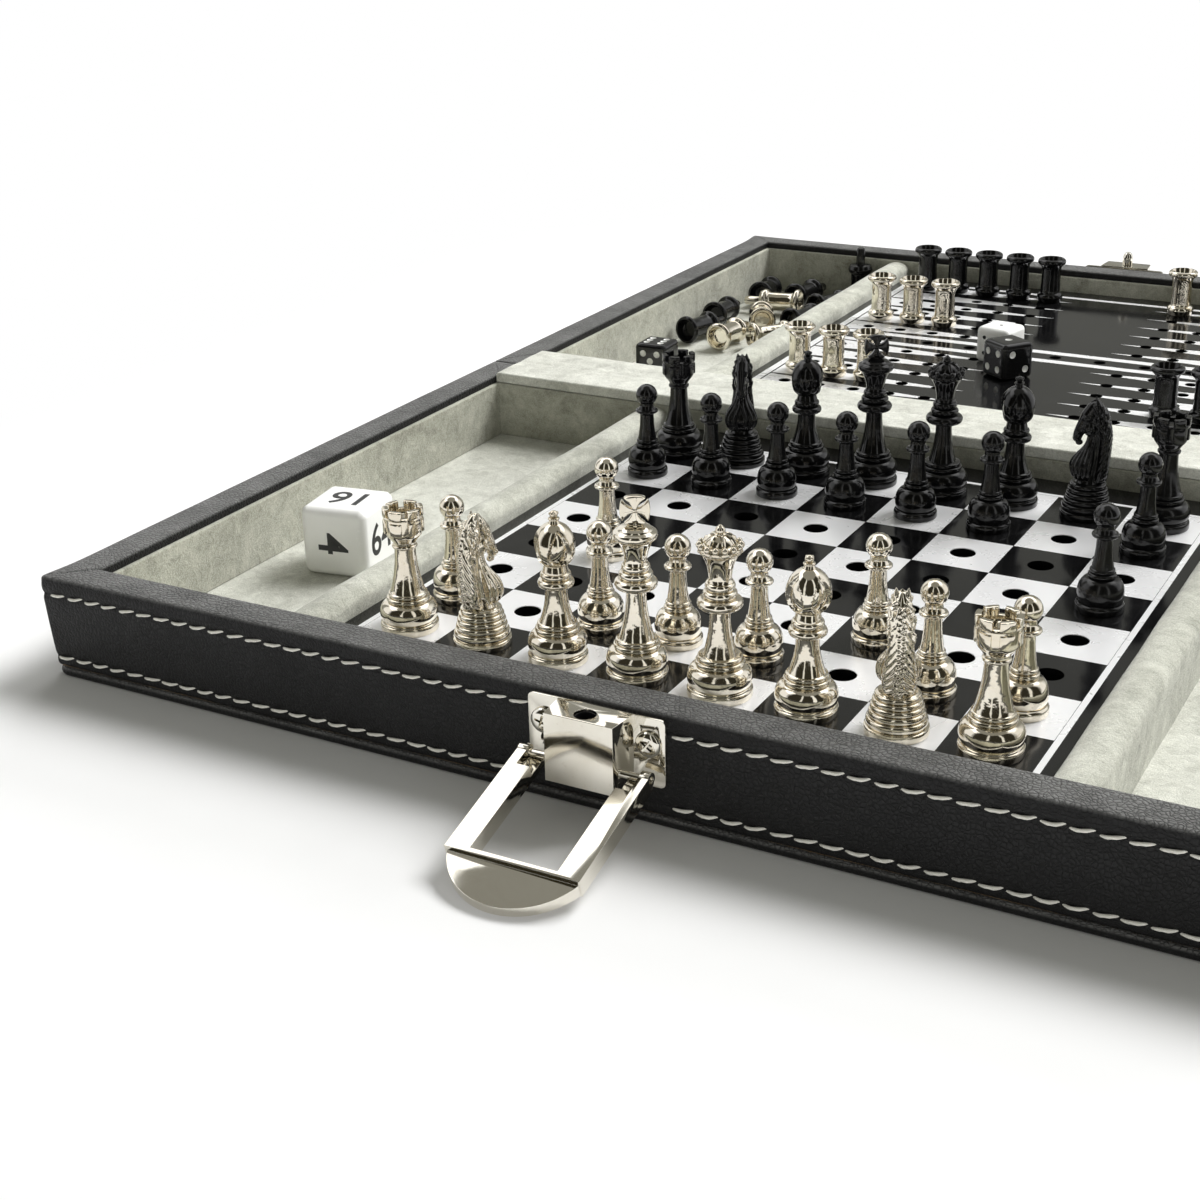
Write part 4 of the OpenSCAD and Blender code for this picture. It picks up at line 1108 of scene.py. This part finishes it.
spot = at(*cube["place"])
shape = Shape().add(roundCube(cube["size"], cube["round"], 7), spot)
for face, (text, turn) in enumerate(cube["numbers"]):
    shape.add(numeral(text), spot @ faceFrame(cube["size"], face) @ spin(turn), 1)
piece("doubling_cube_shape", shapeMesh("doubling_cube", shape, ["white_dice", "black_paint"], 60),
      "doubling_cube_body", ["doubling_cube"])
print("stage: counters and dice")

# Light, floor and camera

studio = {"facing": -119.4, "dome": 0.23, "floorHalf": 6.0, "fade": 0.17}
lamps = {"key": ((0.9, 1.5, 1.9), (0, 0.1, 0), (1.5, 1.1), 92),
         "back": ((0.3, 3.6, 1.15), (0, 0.1, 0), (5.5, 1.8), 190),
         "fill": ((1.2, -2.2, 0.35), (0, 0, 0), (2.0, 0.6), 15)}


# Reflections see a studio: bright sides, a softbox high behind, and darkness round the camera.
# Diffuse light comes from a plain dim dome, and the camera sees white.
def makeWorld():
    world = bpy.data.worlds.new("studio")
    bpy.context.scene.world = world
    world.use_nodes = True
    t = world.node_tree
    t.nodes.clear()
    turned = addNode(t, "VectorRotate", {"rotation_type": "Z_AXIS"}, Angle=radians(studio["facing"]),
                     Vector=addNode(t, "TexCoord").outputs["Generated"])
    x, y, z = addNode(t, "SeparateXYZ", Vector=turned.outputs[0]).outputs
    # 0.5 is straight away from the camera, less is to its right, and both ends are behind it
    around = maths(t, "ADD", maths(t, "DIVIDE", maths(t, "ARCTAN2", y, x), 2 * pi), 0.5)
    height = maths(t, "DIVIDE", maths(t, "ARCSINE", z), pi / 2)
    dark, low, warm, pale, white = ((0.034, 0.031, 0.022), (0.30, 0.30, 0.27), (1.0, 1.0, 0.96), (0.9, 0.9, 0.86),
                                    (1.0, 1.0, 1.0))
    wall = ramp(t, around, [(0.0, dark), (0.055, dark), (0.06, warm), (0.085, warm), (0.09, dark), (0.20, dark),
                            (0.235, white), (0.33, white), (0.39, low), (0.515, low), (0.54, white), (0.61, white),
                            (0.62, low), (0.655, low), (0.67, white), (0.755, white), (0.79, dark), (0.91, dark),
                            (0.915, pale), (0.935, pale), (0.94, dark), (1.0, dark)])
    box = maths(t, "MULTIPLY", ramp(t, height, [(0.42, 0.0), (0.47, 1.0), (0.668, 1.0), (0.682, 0.0)]),
                ramp(t, around, [(0.24, 0.0), (0.30, 1.0), (0.74, 1.0), (0.80, 0.0)]))
    above = ramp(t, height, [(0.655, 0.0), (0.70, 1.0)])
    seen = blendColour(t, box, blendColour(t, above, wall, (0.27, 0.265, 0.235)), (1.9, 1.9, 1.88))
    path = addNode(t, "LightPath").outputs
    lit = mixShader(t, path["Is Glossy Ray"], addNode(t, "Background", Color=(1, 1, 0.9), Strength=studio["dome"]),
                    addNode(t, "Background", Color=seen, Strength=1.0))
    lit = mixShader(t, path["Is Camera Ray"], lit, addNode(t, "Background", Color=(1, 1, 1), Strength=1.0))
    addNode(t, "OutputWorld", Surface=lit.outputs[0])


def makeLamp(name, place, aim, size, power):
    lamp = bpy.data.lights.new(name, "AREA")
    lamp.shape, lamp.energy = "RECTANGLE", power
    lamp.size, lamp.size_y = size
    o = placed(name, lamp)
    o.location = place
    o.rotation_euler = (Vector(aim) - Vector(place)).to_track_quat("-Z", "Y").to_euler()
    o.visible_glossy = False


# Paper that keeps the shadow near the case and is plain white further off
def makeFloor():
    mesh = bpy.data.meshes.new("floor")
    s = studio["floorHalf"]
    mesh.from_pydata([(-s, -s, 0), (s, -s, 0), (s, s, 0), (-s, s, 0)], [], [(0, 1, 2, 3)])
    m, t, to = newMaterial("floorPaper", Roughness=0.8, Specular_IOR_Level=0.1)
    place = objectPlace(t)
    setRange(t, to, noise(t, place, 40, 4, 0.6), (0.86, 0.86, 0.86), (0.89, 0.89, 0.89))
    split = addNode(t, "SeparateXYZ", Vector=place).outputs
    away = []
    for axis, middle, half in (("X", 0.0, 0.1525), ("Y", 0.103, 0.206)):
        off = maths(t, "SUBTRACT", maths(t, "ABSOLUTE", maths(t, "SUBTRACT", split[axis], middle)), half)
        away.append(maths(t, "POWER", maths(t, "MAXIMUM", off, 0.0), 2.0))
    fade = mapRange(t, maths(t, "SQRT", maths(t, "ADD", *away)), 0.0, 1.0, 0.0, studio["fade"], "SMOOTHSTEP")
    path = addNode(t, "LightPath").outputs
    seen = maths(t, "MAXIMUM", path["Is Camera Ray"], path["Is Glossy Ray"])
    paper = mixShader(t, maths(t, "MULTIPLY", seen, fade), t.nodes["Principled BSDF"],
                      addNode(t, "Emission", Color=(1, 1, 1), Strength=1.0))
    plug(t, t.nodes["Material Output"].inputs["Surface"], paper.outputs[0])
    mesh.materials.append(m)
    placed("floor", mesh)


makeWorld()
makeFloor()
for name, values in lamps.items():
    makeLamp(name, *values)

camera = {"lens": 56.715, "place": (0.17127, -0.40493, 0.19605), "right": (0.87558359, 0.48255057, -0.02232319),
          "up": (-0.17136923, 0.3534897, 0.91960732), "back": (0.45164805, -0.80136757, 0.3922041)}
lens = bpy.data.cameras.new("camera")
lens.sensor_width, lens.lens, lens.clip_start, lens.clip_end = 36, camera["lens"], 0.01, 20
cameraObject = placed("camera", lens)
axes = Matrix([camera[key] for key in ("right", "up", "back")]).transposed().to_4x4()
cameraObject.matrix_world = shift(*camera["place"]) @ axes
bpy.context.scene.camera = cameraObject
bpy.context.scene.view_settings.view_transform = "Standard"
bpy.context.scene.view_settings.look = "None"
print("stage: studio")
